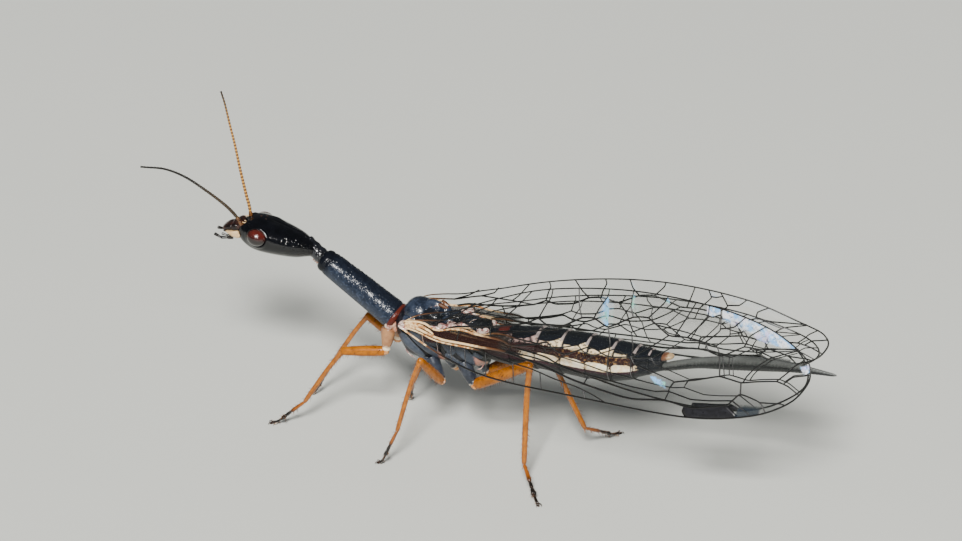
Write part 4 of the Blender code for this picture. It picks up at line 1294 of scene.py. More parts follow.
@dataclass(frozen=True)
class RingsFinish:
    """The abdomen's pattern: black back plates, cream corners, purple-brown sides and a cream band."""

    name: str = "abdomen rings"
    back: Colour = (0.004, 0.005, 0.009)
    pale: Colour = (0.9, 0.69, 0.4)
    white: Colour = (0.98, 0.9, 0.72)
    pink: Colour = (0.42, 0.28, 0.25)
    fold: Colour = (0.026, 0.008, 0.009)
    gold: Colour = (0.4, 0.21, 0.07)
    belly: Colour = (0.008, 0.008, 0.01)
    belly_edge: Colour = (0.035, 0.014, 0.02)
    tick: Colour = (0.4, 0.33, 0.31)
    red: Colour = (0.075, 0.012, 0.009)

    def material(self) -> Material:
        """Returns the finished material, which reads the ring's number and the height round it."""
        paint = Paint(self.name)
        place, _, height = paint.plan()
        cloud = paint.noise(0.12) - 0.5
        fine = paint.noise(0.04, 4.0) - 0.5
        within = place.part()
        centre = (within - 0.45).size()
        mottle = (paint.noise(0.05, 5.0, 0.7) + cloud * 0.3).rise(0.52, 0.66)
        fold = paint.mix(mottle * (place + fine).band(2.6, 6.2, 0.4), self.fold, self.gold)
        belly = paint.mix((height + cloud * 0.2).rise(-0.42, -0.24), self.belly, self.belly_edge)
        colour = paint.mix((height + fine * 0.05).rise(-0.17, -0.21), fold, belly)
        edge = 0.2 - centre.rise(0.25, 0.55) * 0.13 + cloud * 0.14 + fine * 0.1
        band = (height - edge).rise(0.015, -0.015) * (height + fine * 0.06).rise(-0.21, -0.17)
        band = band * (within + fine * 0.25).band(0.03, 0.985, 0.02) * (place + fine * 0.8).band(1.5, 6.25, 0.15)
        colour = paint.mix(band, colour, paint.mix(cloud.rise(-0.12, 0.12), self.white, self.pale))
        scallop = 0.71 + within.rise(0.5, 0.95) * 0.15 + fine * 0.1
        corner = (height + cloud * 0.12 + fine * 0.08).rise(0.54, 0.58) * (within + fine * 0.15).band(0.1, 1.1, 0.02)
        corner = corner * (1.0 - (paint.noise(0.07, 5.0, 0.7) - place * 0.03).rise(0.44, 0.49) * 0.9)
        late = (place + cloud).rise(1.8, 3.0)
        patch = paint.mix(late, self.pink, paint.mix(fine.rise(0.0, 0.2), self.pale, self.white))
        patch = paint.mix((place + cloud * 2.0 + height * 0.5).band(1.0, 5.85, 0.1) * corner, self.back, patch)
        colour = paint.mix((height + cloud * 0.12 + fine * 0.08).rise(0.52, 0.56), colour, patch)
        colour = paint.mix((height - scallop).rise(-0.015, 0.015), colour, self.back)
        colour = paint.mix((place + fine * 0.5).rise(5.9, 6.1) * height.rise(0.1, 0.25), colour, self.back)
        colour = paint.mix((place + fine * 0.5).rise(6.2, 6.4), colour, self.back)
        tick = (within - (height - 0.8) * 0.25).band(0.9, 0.995, 0.015) * (place + fine).band(1.6, 7.2, 0.2)
        colour = paint.mix(tick * (height + fine * 0.08).band(0.8, 0.99, 0.02), colour, self.tick)
        spot = (place + fine * 0.3).band(0.34, 0.78, 0.03) * (height + fine * 0.05).rise(0.85, 0.88)
        colour = paint.mix(spot, colour, self.red)
        rough = 0.24 + fine * 0.12 + height.rise(0.5, 0.2) * 0.22
        normal = paint.bump(paint.noise(0.035, 4.0), 0.006)
        normal = paint.bump(mottle * height.band(0.2, 0.52, 0.04), 0.008, normal)
        return paint.finish(Base_Color=colour, Roughness=rough, Normal=normal, Coat_Weight=height.rise(-0.2, 0.0) * 0.4,
                            Coat_Roughness=0.1, Specular_IOR_Level=0.22)


@dataclass(frozen=True)
class TubeFinish:
    """The egg-laying tube: dark grey below, lighter above, ringed by fine folds."""

    name: str = "egg tube"
    upper: Colour = (0.085, 0.09, 0.086)
    lower: Colour = (0.006, 0.007, 0.008)

    def material(self) -> Material:
        """Returns the finished material."""
        paint = Paint(self.name)
        _, folds, height = paint.plan()
        cloud = (paint.noise(0.08) - 0.5) * 0.6
        colour = paint.mix((height + cloud + folds * 0.06).rise(-0.15, 0.65), self.lower, self.upper)
        normal = paint.bump(paint.noise(0.02, 3.0), 0.003)
        return paint.finish(Base_Color=colour, Roughness=0.34 + folds * 0.05, Normal=normal)


# The legs


@dataclass
class Leg:
    """One leg from its coxa to its claws, in stations."""

    name: str
    hip: Point
    trochanter: Point
    knee: Point
    ankle: Point
    toe: Point
    front: bool = False
    coxa_radius: float = 0.125
    femur_radius: float = 0.093
    tibia_radius: float = 0.051
    foot_radius: float = 0.05
    foot_end: float = 0.92
    foot_height: float = 0.045
    foot_points: int = 200
    claw_length: float = 0.09
    bristle_density: float = 1.6e8
    joints: tuple[tuple[float, float, float], ...] = (
        (0.0, 0.43, 1.0), (0.43, 0.57, 0.92), (0.575, 0.71, 1.15), (0.7, 0.76, 0.7), (0.75, 0.97, 0.74),
    )

    def length(self, first: str, second: str) -> tuple[Array, Array, Array]:
        """Returns two of the leg's joints and the direction from the first to the second."""
        start, stop = (np.array(getattr(self, name), float) for name in (first, second))
        return start, stop, (stop - start) / np.linalg.norm(stop - start)

    def coxa(self, material: Material) -> Piece:
        """Builds the coxa, stout above and pale at its lower rim."""
        hip, end, _ = self.length("hip", "trochanter")
        way = np.linspace(hip, end, 40)
        share = np.linspace(0, 1, 40)
        shape = (0.146, 0.15, 0.115, 0.085, 0.072) if self.front else (0.14, 0.145, 0.13, 0.11, 0.085)
        radii = np.interp(share, (0, 0.25, 0.6, 0.85, 1.0), shape) * self.coxa_radius / 0.125
        radii = radii + 0.01 * swell(share, 0.92, 0.04) - 0.01 * swell(share, 0.82, 0.03)
        radii = radii * np.clip(1 - ((share - 0.95) / 0.05).clip(0, 1) ** 2, 0.06, 1) ** 0.5
        clay = Clay()
        clay.tube(way, radii, 48)
        return clay.build(f"coxa_{self.name}_cone", material)

    def hinge(self, material: Material) -> Piece:
        """Builds the small trochanter between coxa and femur."""
        end, _, ahead = self.length("trochanter", "knee")
        clay = Clay()
        rolls = ((-0.065, 0.045, 18, 0.7, 32), (-0.01, 0.03, 12, 0.88, 36))
        for tag, (back, front, count, wide, sides) in enumerate(rolls):
            way = np.linspace(end + ahead * back, end + ahead * front, count)
            share = np.linspace(-1, 1, count)
            clay.tube(way, wide * self.femur_radius * np.sqrt(np.clip(1 - share ** 4, 0.03, 1)), sides, tag=tag)
        return clay.build(f"trochanter_{self.name}", material)

    def femur(self, material: Material) -> Piece:
        """Builds the swollen femur."""
        end, knee, ahead = self.length("trochanter", "knee")
        way = np.linspace(end + ahead * 0.005, knee + ahead * 0.055, 60)
        share = np.linspace(0, 1, 60)
        radii = np.interp(share, (0, 0.12, 0.3, 0.55, 0.8, 0.93, 1.0),
                          (0.86, 0.96, 1.0, 0.98, 0.86, 0.8, 0.72)) * self.femur_radius
        clay = Clay()
        up = (0.0, 1.0, 0.0) if abs(ahead[2]) > 0.9 else (0.0, 0.0, 1.0)
        clay.tube(way, radii * capped(share, 22), 44, 1.08, up=up)
        return clay.build(f"femur_{self.name}_thigh", material)

    def tibia(self, material: Material) -> Piece:
        """Builds the slim tibia with its two spurs."""
        knee, ankle, ahead = self.length("knee", "ankle")
        bow = np.array((-0.03, 0.0, 0.0)) + 0.02 * ahead
        shin = ankle - knee
        way = smooth([knee - ahead * 0.05, knee + shin * 0.3 + bow, knee + shin * 0.7 + bow * 0.6,
                      ankle + ahead * 0.03], 22)
        share = np.linspace(0, 1, len(way))
        radii = np.interp(share, (0, 0.06, 0.16, 0.6, 0.9, 1.0), (1.0, 1.12, 0.96, 1.0, 0.92, 0.86))
        clay = Clay()
        clay.tube(way, radii * self.tibia_radius * capped(share, 30), 36)
        for sign in (1, -1):
            root = ankle + np.array((0.0, sign * 0.03, 0.0))
            clay.tube(np.linspace(root, root + ahead * 0.08 + np.array((0.0, sign * 0.03, -0.01)), 8),
                      np.linspace(0.012, 0.003, 8), 10, tag=1.0)
        return clay.build(f"tibia_{self.name}_shin", material)

    def foot_way(self) -> Array:
        """Returns the way of the foot from the ankle to the ground."""
        ankle, toe, _ = self.length("ankle", "toe")
        rest = np.array((*(ankle + (toe - ankle) * self.foot_end)[:2], self.foot_height))
        first = ankle + (rest - ankle) * 0.42 - np.array((0, 0, ankle[2] * 0.05))
        second = ankle + (rest - ankle) * 0.78
        second[2] = self.foot_height + 0.1 * ankle[2]
        return evenly(smooth([ankle, first, second, rest], 24), self.foot_points)

    def foot(self, material: Material) -> Piece:
        """Builds the five-jointed foot, whose third joint is two-lobed."""
        way, last = self.foot_way(), self.foot_points - 1
        clay = Clay()
        for number, (start, stop, wide) in enumerate(self.joints):
            points = evenly(way[int(start * last):int(stop * last) + 1], 20)
            share = np.linspace(0, 1, 20)
            radii = self.foot_radius * wide * (0.68 + 0.32 * share) * capped(share, 10, 0.03)
            clay.tube(points, radii, 28, 0.85, tag=number)
            if number == 2:
                across = np.cross(points[-1] - points[0], (0, 0, 1.0))
                across *= 0.035 / np.linalg.norm(across)
                for sign in (1, -1):
                    ahead = (points[-1] - points[0]) * 0.5
                    axes = np.array((ahead * 0.55, across * 0.8, (0.0, 0.0, 0.034)))
                    clay.ball(points[-4] + across * sign, axes, 16, 20, 2.0, number)
        return clay.build(f"tarsus_{self.name}_joints", material)

    def pads(self, material: Material) -> Piece:
        """Builds the pale soles under the middle joints of the foot."""
        way = self.foot_way()
        clay = Clay()
        for place in (0.6, 0.68, 0.9):
            number = int(place * (self.foot_points - 1))
            centre = way[number]
            ahead = way[number + 3] - way[number - 3]
            ahead *= 0.045 / np.linalg.norm(ahead)
            across = np.cross(ahead, (0, 0, 1.0))
            clay.ball(centre - np.array((0, 0, 0.026)), np.array((ahead, across, (0.0, 0.0, 0.016))), 12, 18)
        return clay.build(f"pads_{self.name}", material)

    def bristles(self, tree: NodeTree, source: Piece, seed: int, material: Material) -> Piece:
        """Sets short bristles on a finished length of the leg.

        Args:
            tree: The tree that plants them.
            source: The length that carries them.
            seed: What their places are drawn from.
            material: Their finish.

        Returns:
            The bristles, as one piece.
        """
        carrier = linked("bristle_carrier", source.data.copy())
        knee, toe, _ = self.length("knee", "toe")
        values = {"Density": self.bristle_density, "Length": 0.085 * MM, "Radius": 0.0045 * MM,
                  "Lean": tuple((toe - knee) * 0.35), "Seed": seed, "Material": material}
        return tree.run(carrier, source.name + "_bristles", Matrix.Identity(4), values)

    def claws(self, material: Material) -> Piece:
        """Builds the two curved claws and the pad between them."""
        way = self.foot_way()
        tip = way[-8]
        ahead = way[-1] - way[-12]
        ahead[2] = 0
        ahead /= np.linalg.norm(ahead)
        across = np.cross(ahead, (0, 0, 1.0))
        clay = Clay()
        for sign in (1, -1):
            bends = ((0.0, 0.012, 0.0), (0.045, 0.04, 0.012), (0.085, 0.055, -0.004),
                     (self.claw_length, 0.05, 0.008 - self.foot_height))
            path = smooth([tip + ahead * far + across * sign * out + np.array((0, 0, up)) for far, out, up in bends], 8)
            clay.tube(path, np.linspace(0.014, 0.003, len(path)), 14)
        axes = np.array((ahead * 0.035, across * 0.028, (0.0, 0.0, 0.012)))
        clay.ball(tip + ahead * 0.045 - np.array((0, 0, self.foot_height - 0.016)), axes, 12, 18, 2.0, 1.0)
        return clay.build(f"claws_{self.name}", material)


@dataclass(frozen=True)
class FootFinish(Cuticle):
    """A foot: its long first joint orange-brown, the others black."""

    first: Colour = (0.24, 0.065, 0.003)

    def colour(self, paint: Paint) -> Wire:
        """Returns the clouds with the first joint's colour, which darkens towards its end."""
        along, joint, _ = paint.plan()
        long_joint = joint.rise(0.6, 0.4) * (along + (paint.noise(0.05) - 0.5) * 0.5).rise(1.1, 0.5)
        return paint.mix(long_joint, super().colour(paint), self.first)


# The wings


@dataclass(frozen=True)
class Vein:
    """One vein of a wing: its way in the wing's plane and its radius at both ends."""

    way: tuple[Point, ...]
    root: float = 0.016
    tip: float = 0.013
    pale: bool = False
    bend: float = 0.35


FOREWING_COSTA = (
    (0.0, -0.06), (1.0, -0.53), (2.1, -0.85), (3.9, -1.03), (6.4, -1.21), (7.85, -1.07), (8.68, -0.75), (9.09, -0.36),
    (9.17, -0.04),
)
FOREWING_HIND = (
    (9.17, -0.04), (8.98, 0.29), (8.1, 0.79), (6.8, 1.1), (5.0, 1.23), (3.2, 1.08), (1.9, 0.72), (1.2, 0.46),
    (0.67, 0.36), (0.3, 0.27), (0.0, 0.11),
)
HINDWING_COSTA = (
    (0.98, -0.02), (2.95, -0.27), (3.6, -0.46), (5.2, -0.82), (6.8, -1.0), (8.0, -0.9), (8.85, -0.48), (9.03, -0.1),
)
HINDWING_HIND = (
    (9.03, -0.1), (8.8, 0.31), (8.2, 0.6), (7.0, 0.86), (5.2, 0.96), (3.6, 0.88), (2.2, 0.6), (1.4, 0.32),
    (0.98, 0.14),
)
FOREWING_VEINS = (
    Vein(((0.06, -0.01), (0.35, -0.07), (0.68, -0.18), (0.96, -0.235), (1.5, -0.28), (1.9, -0.33), (2.3, -0.45),
        (3.0, -0.57), (3.5, -0.71), (4.0, -0.82), (4.4, -0.95), (4.7, -1.08)), 0.018, 0.013, True, 0.9),
    Vein(((0.06, 0.06), (0.25, 0.07), (0.45, 0.04), (0.62, -0.03), (0.72, -0.09)), 0.054, 0.016, True, 0.9),
    Vein(((0.05, 0.03), (0.35, -0.01), (0.68, -0.12), (0.96, -0.18), (1.33, -0.205), (1.79, -0.24), (2.3, -0.27),
        (3.0, -0.42), (3.5, -0.56), (4.0, -0.71), (4.75, -0.87), (5.3, -0.95), (6.03, -0.91), (6.6, -1.0),
        (7.0, -0.95), (7.4, -0.87), (7.52, -0.77), (7.68, -0.63), (7.9, -0.67), (8.12, -0.75), (8.25, -0.93)),
        0.029, 0.015, True, 0.8),
    Vein(((2.4, -0.26), (3.0, -0.33), (3.5, -0.42), (4.0, -0.53), (4.3, -0.57), (4.75, -0.63), (5.3, -0.71),
        (5.8, -0.75), (6.1, -0.72), (6.6, -0.83), (7.0, -0.82), (7.52, -0.77)), 0.017, 0.015),
    Vein(((6.12, -0.65), (6.22, -0.52), (6.7, -0.43), (7.2, -0.31), (7.68, -0.39), (8.0, -0.34), (8.45, -0.29),
        (8.7, -0.36), (8.92, -0.5), (8.97, -0.53)), 0.018, 0.015),
    Vein(((0.05, 0.1), (0.29, 0.135), (0.5, 0.11), (0.71, 0.02), (0.85, 0.01), (1.15, 0.065), (1.42, 0.06),
        (1.63, 0.015), (1.83, -0.01), (2.11, -0.04), (2.3, -0.07), (2.5, -0.14), (3.0, -0.07), (3.3, 0.0),
        (3.45, -0.12), (3.72, -0.2), (4.05, -0.08), (4.3, 0.0), (4.7, -0.15), (5.2, -0.1), (5.6, 0.12), (6.0, 0.4)),
        0.025, 0.014, True, 0.7),
    Vein(((0.9, 0.02), (1.2, 0.12), (2.0, 0.2), (2.75, 0.33), (3.06, 0.47)), 0.02, 0.017),
    Vein(((3.06, 0.47), (3.25, 0.36), (3.65, 0.38), (4.03, 0.57), (4.3, 0.59), (4.64, 0.44), (5.17, 0.69),
        (5.51, 0.71), (6.0, 0.4), (6.41, 0.4), (6.81, 0.33), (6.91, 0.17), (7.21, 0.1), (7.68, 0.33), (8.06, 0.31),
        (8.45, 0.36), (8.85, 0.4)), 0.02, 0.014),
    Vein(((6.41, 0.4), (6.81, 0.82), (6.83, 1.09))),
    Vein(((0.12, 0.15), (0.9, 0.22), (1.6, 0.45), (2.3, 0.42), (2.75, 0.33)), 0.017, 0.014),
    Vein(((0.9, 0.22), (1.3, 0.42), (1.6, 0.64))), Vein(((1.6, 0.45), (1.95, 0.62), (2.1, 0.8))),
    Vein(((2.3, 0.42), (2.5, 0.6), (2.85, 0.99))), Vein(((3.06, 0.47), (3.2, 0.75), (3.3, 0.92), (3.32, 1.09))),
    Vein(((4.03, 0.57), (3.95, 0.8), (3.9, 1.16))), Vein(((4.3, 0.59), (4.4, 0.8), (4.56, 1.05), (4.58, 1.21))),
    Vein(((5.17, 0.69), (5.1, 0.92), (5.12, 1.22))), Vein(((5.51, 0.71), (5.82, 1.03), (5.9, 1.18))),
    Vein(((6.14, 0.41), (6.34, 0.76), (6.54, 1.13))), Vein(((6.81, 0.33), (7.12, 0.61), (7.09, 1.05))),
    Vein(((7.12, 0.64), (7.41, 0.7), (7.64, 0.91))), Vein(((7.68, 0.33), (7.79, 0.56), (8.11, 0.78))),
    Vein(((6.83, 0.87), (6.93, 0.86), (7.11, 0.93))),
    Vein(((7.72, -0.39), (7.8, -0.25), (7.95, -0.08), (8.27, 0.16), (8.83, 0.36))),
    Vein(((7.16, 0.1), (7.2, -0.31)), 0.017, 0.017), Vein(((7.23, 0.1), (7.31, -0.33)), 0.012, 0.012),
    Vein(((8.45, -0.29), (8.67, -0.1), (8.79, 0.03), (9.02, 0.2))),
    Vein(((8.62, -0.31), (8.81, -0.17), (9.05, -0.12), (9.16, -0.09))),
    Vein(((7.68, -0.39), (7.69, -0.64)), 0.017, 0.017), Vein(((8.12, -0.75), (8.55, -0.73), (8.66, -0.75))),
    Vein(((7.52, -0.77), (7.85, -0.97), (7.95, -1.04))),
    Vein(((8.22, 0.12), (7.98, 0.22), (7.8, 0.32)), 0.012, 0.012), Vein(((4.2, -0.76), (4.3, -0.57))),
    Vein(((6.03, -0.91), (6.12, -0.7))), Vein(((6.1, -0.72), (6.12, -0.65))),
    Vein(((5.2, -0.1), (5.3, -0.25), (5.77, -0.38), (6.2, -0.51))), Vein(((3.5, -0.42), (3.72, -0.2))),
    Vein(((4.7, -0.15), (4.7, -0.45), (4.75, -0.63))), Vein(((4.64, 0.44), (4.72, 0.1), (4.7, -0.15))),
    Vein(((2.5, -0.14), (2.45, -0.27))), Vein(((1.3, 0.07), (1.25, -0.2))), Vein(((2.0, 0.2), (2.0, -0.03))),
)
HINDWING_KEPT = tuple(number for number in range(41) if number not in (0, 2, 9, 10, 11, 12, 28, 29, 33))
HINDWING_LIFT = 0.22
# How the far wings differ from the near wings' mirror image: shorter, moved forwards and bent
FAR_WINGS = {"stretch": 9.08 / 9.18, "shift": (-0.22, -0.04, -0.04), "lean": (0.12, -0.1)}
COSTAL_CROSSVEINS = (0.45, 0.8, 1.12, 1.45, 1.93, 2.57, 3.2, 3.72, 4.2)
PTEROSTIGMA = (
    (6.45, -1.0), (6.72, -0.97), (7.0, -0.95), (7.42, -0.88), (7.55, -0.97), (7.68, -1.07), (7.5, -1.12),
    (7.0, -1.175), (6.5, -1.2), (6.42, -1.1),
)
# Cells of the near forewing with a painted blue and white reflection: how far it reaches from the first edge, and the
# outline
PAINTED_SHEEN_CELLS = (
    (0.1, ((4.64, 0.44), (4.58, 1.06), (4.39, 0.76), (4.33, 0.61))),
    (0.04, ((5.12, 1.18), (5.1, 0.92), (5.17, 0.72), (5.26, 0.93))),
    (0.07, ((5.89, 1.18), (5.96, 1.06), (5.82, 1.03))),
    (0.25, ((6.79, 1.1), (7.13, 1.05), (7.1, 0.93), (6.91, 0.87), (6.81, 0.89))),
    (0.16, ((7.12, 1.06), (7.66, 0.93), (7.6, 0.82), (7.41, 0.7), (7.15, 0.81))),
    (0.2, ((7.66, 0.93), (8.1, 0.8), (7.82, 0.59), (7.47, 0.7))),
    (0.24, ((8.1, 0.8), (8.53, 0.6), (8.87, 0.4), (8.49, 0.4), (7.99, 0.47), (7.84, 0.58))),
    (0.16, ((9.14, 0.1), (9.19, -0.02), (9.03, -0.11), (8.93, 0.05))),
    (0.08, ((5.66, -0.44), (6.0, -0.54), (6.04, -0.68), (5.76, -0.57))),
)


class Pair(Enum):
    """Which pair a wing belongs to."""

    FORE = "forewing"
    HIND = "hindwing"


@dataclass
class Wing:
    """One wing: its clear membrane, its round veins and margins, and the dark spot at its front edge."""

    pair: Pair
    side: Side
    base: Point = (2.95, 0.62, 2.76)
    rise: float = 6.8
    spread: float = 1.1
    roof: float = 65.0
    lift: float = 0.0
    stretch: float = 1.0
    shift: Point = (0.0, 0.0, 0.0)
    thickness: float = 0.01
    camber: float = 0.035
    bulge: float = 0.014
    lean: Point = (0.0, 0.0)
    cell_reach: float = 0.12
    span: float = 9.2
    margin_steps: int = 16
    points_along: int = 330
    points_across: int = 72
    hindwing_start: float = 0.98
    hindwing_stretch: float = 0.879
    hindwing_narrowing: float = 0.86

    def matrix(self) -> Matrix:
        """Returns what takes the wing's own points to the row frame, mirrored on the right side."""
        rise, spread, roof = (math.radians(angle) for angle in (self.rise, self.spread, self.roof))
        along = Vector((math.cos(rise) * math.cos(spread), -math.sin(spread), math.sin(rise)))
        across = Vector((0.0, math.cos(roof), math.sin(roof)))
        across = (across - along * across.dot(along)).normalized()
        out = along.cross(across)
        base = Vector((self.base[0], -self.base[1], self.base[2])) - out * self.lift
        placed = Matrix.Translation(base) @ Matrix((along, across, out)).transposed().to_4x4()
        if self.side is Side.RIGHT:
            placed = Matrix.Translation(self.shift) @ Matrix.Scale(-1.0, 4, (0.0, 1.0, 0.0)) @ placed
        return STATIONS @ placed @ Matrix.Scale(self.stretch, 4, (1.0, 0.0, 0.0))

    def margins(self) -> tuple[Array, Array]:
        """Returns the front and the hind margin, both from the base to the tip."""
        fore = self.pair is Pair.FORE
        front, back = (FOREWING_COSTA, FOREWING_HIND) if fore else (HINDWING_COSTA, HINDWING_HIND)
        loop = smooth(front + back[1:], self.margin_steps)
        tip = (len(front) - 1) * self.margin_steps
        return loop[:tip + 1], loop[tip:][::-1]

    def veins(self) -> list[Vein]:
        """Returns all the veins of this wing, the margins among them."""
        costa, hind = self.margins()
        network = list(FOREWING_VEINS)
        front = FOREWING_COSTA
        subcosta = FOREWING_VEINS[0].way
        for u in COSTAL_CROSSVEINS:
            top = float(np.interp(u, [p[0] for p in subcosta], [p[1] for p in subcosta]))
            rim = float(np.interp(u + 0.06, [p[0] for p in front], [p[1] for p in front]))
            network.append(Vein(((u, top), (u + 0.03, (top + rim) / 2), (u + 0.06, rim)), 0.012, 0.012))
        if self.pair is Pair.HIND:
            network = [self.carried(vein) for number, vein in enumerate(network) if number in HINDWING_KEPT]
        trim = 0.012
        network.append(Vein(tuple((u, v + trim) for u, v in costa[::4].tolist()), 0.019, 0.019, True, 1.0))
        network.append(Vein(tuple((u, v - trim) for u, v in hind[::4].tolist()), 0.012, 0.016, False, 1.0))
        return network

    def carried(self, vein: Vein) -> Vein:
        """Returns a forewing's vein as the hindwing has it, kept within the hind margin."""
        _, hind = self.margins()
        way = np.array(vein.way) * (self.hindwing_stretch, self.hindwing_narrowing) + (self.hindwing_start, 0.0)
        way[:, 1] = np.minimum(way[:, 1], np.interp(way[:, 0], hind[:, 0], hind[:, 1]))
        return Vein(tuple((u, v) for u, v in way.tolist()), vein.root * 0.8, vein.tip * 0.8, vein.pale, vein.bend)

    def sheet(self, flat: Array) -> Array:
        """Returns how far points of the wing's plane stand out of it: the wing bows along and across."""
        u, v = flat[:, 0], flat[:, 1]
        bow = self.camber * np.sin(math.pi * np.clip(u / self.span, 0, 1)) * (1 - (v / 1.3) ** 2)
        curl = -0.1 * ramp(u, 7.6, self.span) * ramp(np.abs(v + 0.1), 0.0, 1.0)
        tilt = self.lean[0] * swell(u, 6.0, 1.8) + self.lean[1] * swell(u, 2.4, 1.2)
        return bow + curl + tilt

    def drawn(self) -> list[tuple[Array, Vein]]:
        """Returns each vein's fine way with the height of the sheet."""
        ways = []
        for vein in self.veins():
            flat = kinked(vein.way, 6, vein.bend)
            ways.append((np.column_stack([flat, self.sheet(flat)]), vein))
        return ways

    def painted_sheen(self, points: Array) -> Array:
        """Returns how much painted reflection points of the wing's plane get: most at the first edge of a sheen cell.
        """
        inside = np.zeros(len(points))
        for reach, cell in PAINTED_SHEEN_CELLS:
            odd = np.zeros(len(points), bool)
            for (u, v), (next_u, next_v) in zip(cell, cell[1:] + cell[:1]):
                crosses = (v > points[:, 1]) != (next_v > points[:, 1])
                at = u + (points[:, 1] - v) * (next_u - u) / (next_v - v if next_v != v else 1.0)
                odd ^= crosses & (points[:, 0] < at)
            edge = np.subtract(cell[1], cell[0])
            gap = np.abs((points[:, 0] - cell[0][0]) * edge[1] - (points[:, 1] - cell[0][1]) * edge[0])
            gap /= np.hypot(*edge)
            inside = np.maximum(inside, odd * (0.12 + 0.88 * swell(gap, 0.0, reach)))
        return inside

    def membrane(self, material: Material) -> Piece:
        """Builds the clear membrane, blown up a little between the veins."""
        costa, hind = (evenly(margin, self.points_along) for margin in self.margins())
        share = np.linspace(0, 1, self.points_across)[None, :, None]
        flat = costa[:, None] * (1 - share) + hind[:, None] * share
        points = flat.reshape(-1, 2)
        near = np.full(len(points), 9.0)
        for way, _ in self.drawn():
            for start, stop in zip(way[:-1, :2], way[1:, :2]):
                side = stop - start
                length = max(float(side @ side), 1e-9)
                t = np.clip((points - start) @ side / length, 0, 1)
                near = np.minimum(near, np.linalg.norm(points - start - t[:, None] * side, axis=1))
        signs = np.where(np.sin(points[:, 0] * 3.1 + points[:, 1] * 4.7) > 0, 1.0, -1.0)
        swollen = self.bulge * (1 - np.exp(-((near / self.cell_reach) ** 2)))
        middle = self.sheet(points) + swollen * (0.65 + 0.35 * signs)
        half = self.thickness / 2
        # The plan's third number carries the painted reflection of the sheen cells.
        painted_sheen = self.painted_sheen(points) * ramp(near, 0.0, 0.03)
        plans = np.column_stack([points, painted_sheen]).reshape(*flat.shape[:2], 3)
        outer, inner = (np.column_stack([points, middle + level]).reshape(*flat.shape[:2], 3)
                        for level in (half, -half))
        clay = Clay()
        clay.grid(np.concatenate([outer, inner[:, ::-1]], axis=1), np.concatenate([plans, plans[:, ::-1]], axis=1))
        return clay.build(f"{self.pair.value}_{self.side.value}_membrane", material, self.matrix())

    def network(self, tree: NodeTree, pale: bool, material: Material) -> Piece:
        """Builds the veins with pale bases, or all the others, with the tree."""
        drawn = [(way, np.linspace(vein.root, vein.tip, len(way)))
                 for way, vein in self.drawn() if vein.pale is pale]
        name = f"{self.pair.value}_{self.side.value}_{'main' if pale else 'net'}_veins"
        return tree.run(curve_object(drawn), name, self.matrix(), {"Sides": 8, "Material": material})

    def spot(self, material: Material) -> Piece:
        """Builds the dark thickened spot at the front margin."""
        rim = evenly(np.array(PTEROSTIGMA + PTEROSTIGMA[:1]), 61)[:-1]
        if self.pair is Pair.HIND:
            rim = rim * (self.hindwing_stretch, 0.47) + (self.hindwing_start - 0.1, -0.43)

        def lay(flat: Array, level: Array) -> Array:
            """Returns points of the sheet at a height over it."""
            return np.column_stack([flat, self.sheet(flat) + level])

        clay = Clay()
        clay.pillow(rim, lay, 0.014, 0.014, 0.0, 8, 4.0)
        return clay.build(f"{self.pair.value}_{self.side.value}_spot", material, self.matrix())


@dataclass(frozen=True)
class MembraneFinish:
    """Clear, faintly smoky wing skin with painted blue and white reflections in some cells and a bluish front corner.
    """

    name: str
    clear: float = 0.035
    sheen: float = 0.85
    smoke: Colour = (0.035, 0.04, 0.034)
    brown: Colour = (0.02, 0.007, 0.005)
    # The colours of the painted reflection.
    cool: Colour = (0.26, 0.56, 0.95)
    white: Colour = (0.9, 0.94, 1.0)
    rose: Colour = (0.8, 0.62, 0.85)
    green: Colour = (0.25, 0.62, 0.48)
    corner: Colour = (0.012, 0.019, 0.028)

    def material(self) -> Material:
        """Returns the finished material, which reads the place in the wing's plane and the cells with a painted
        reflection.
        """
        paint = Paint(self.name)
        u, v, painted_sheen = paint.plan()
        cloud, fine = paint.noise(0.3), paint.noise(0.05, 4.0)
        # Painted reflection: in the sheen cells the skin turns opaque and metallic, blue, white, rose and green in
        # streaks.
        streak = (u * 22.0 + v * 30.0 + cloud * 9.0).wave() * 0.5 + 0.5
        share = (painted_sheen * self.sheen * ((fine + streak * 0.3).rise(0.35, 0.8) * 1.1 + 0.15)).least(0.9)
        tint = paint.mix((paint.noise(0.16) + fine * 0.3).rise(0.55, 0.75), self.cool, self.white)
        tint = paint.mix(paint.noise(0.24, 2.0).rise(0.56, 0.66) * 0.6, tint, self.rose)
        tint = paint.mix(u.rise(6.2, 6.0), tint, paint.mix(cloud.rise(0.4, 0.6), self.cool, self.green))
        tint = paint.mix(painted_sheen.rise(0.05, 0.3), self.smoke, tint)
        root = u.band(0.45, 2.3, 0.15) * (v + fine * 0.04).band(-0.24, 0.03, 0.03)
        tint = paint.mix(root, tint, self.brown)
        corner = (u * 1.0 - v * 0.4).band(8.03, 8.5, 0.03) * v.rise(-0.8, -0.92)
        tint = paint.mix(corner, tint, self.corner)
        film = (v + cloud * 0.6).rise(0.75, 1.15) * u.rise(3.0, 6.0) * 0.06
        alpha = share.most(corner * 0.6).most(root * (0.5 + fine * 0.3)).most(film + self.clear + (cloud - 0.5) * 0.02)
        normal = paint.bump(paint.noise(0.06, 2.0), 0.0035)
        return paint.finish(Base_Color=tint, Roughness=0.22 + fine * 0.15, Metallic=share * 0.35, Alpha=alpha,
                            Normal=normal)


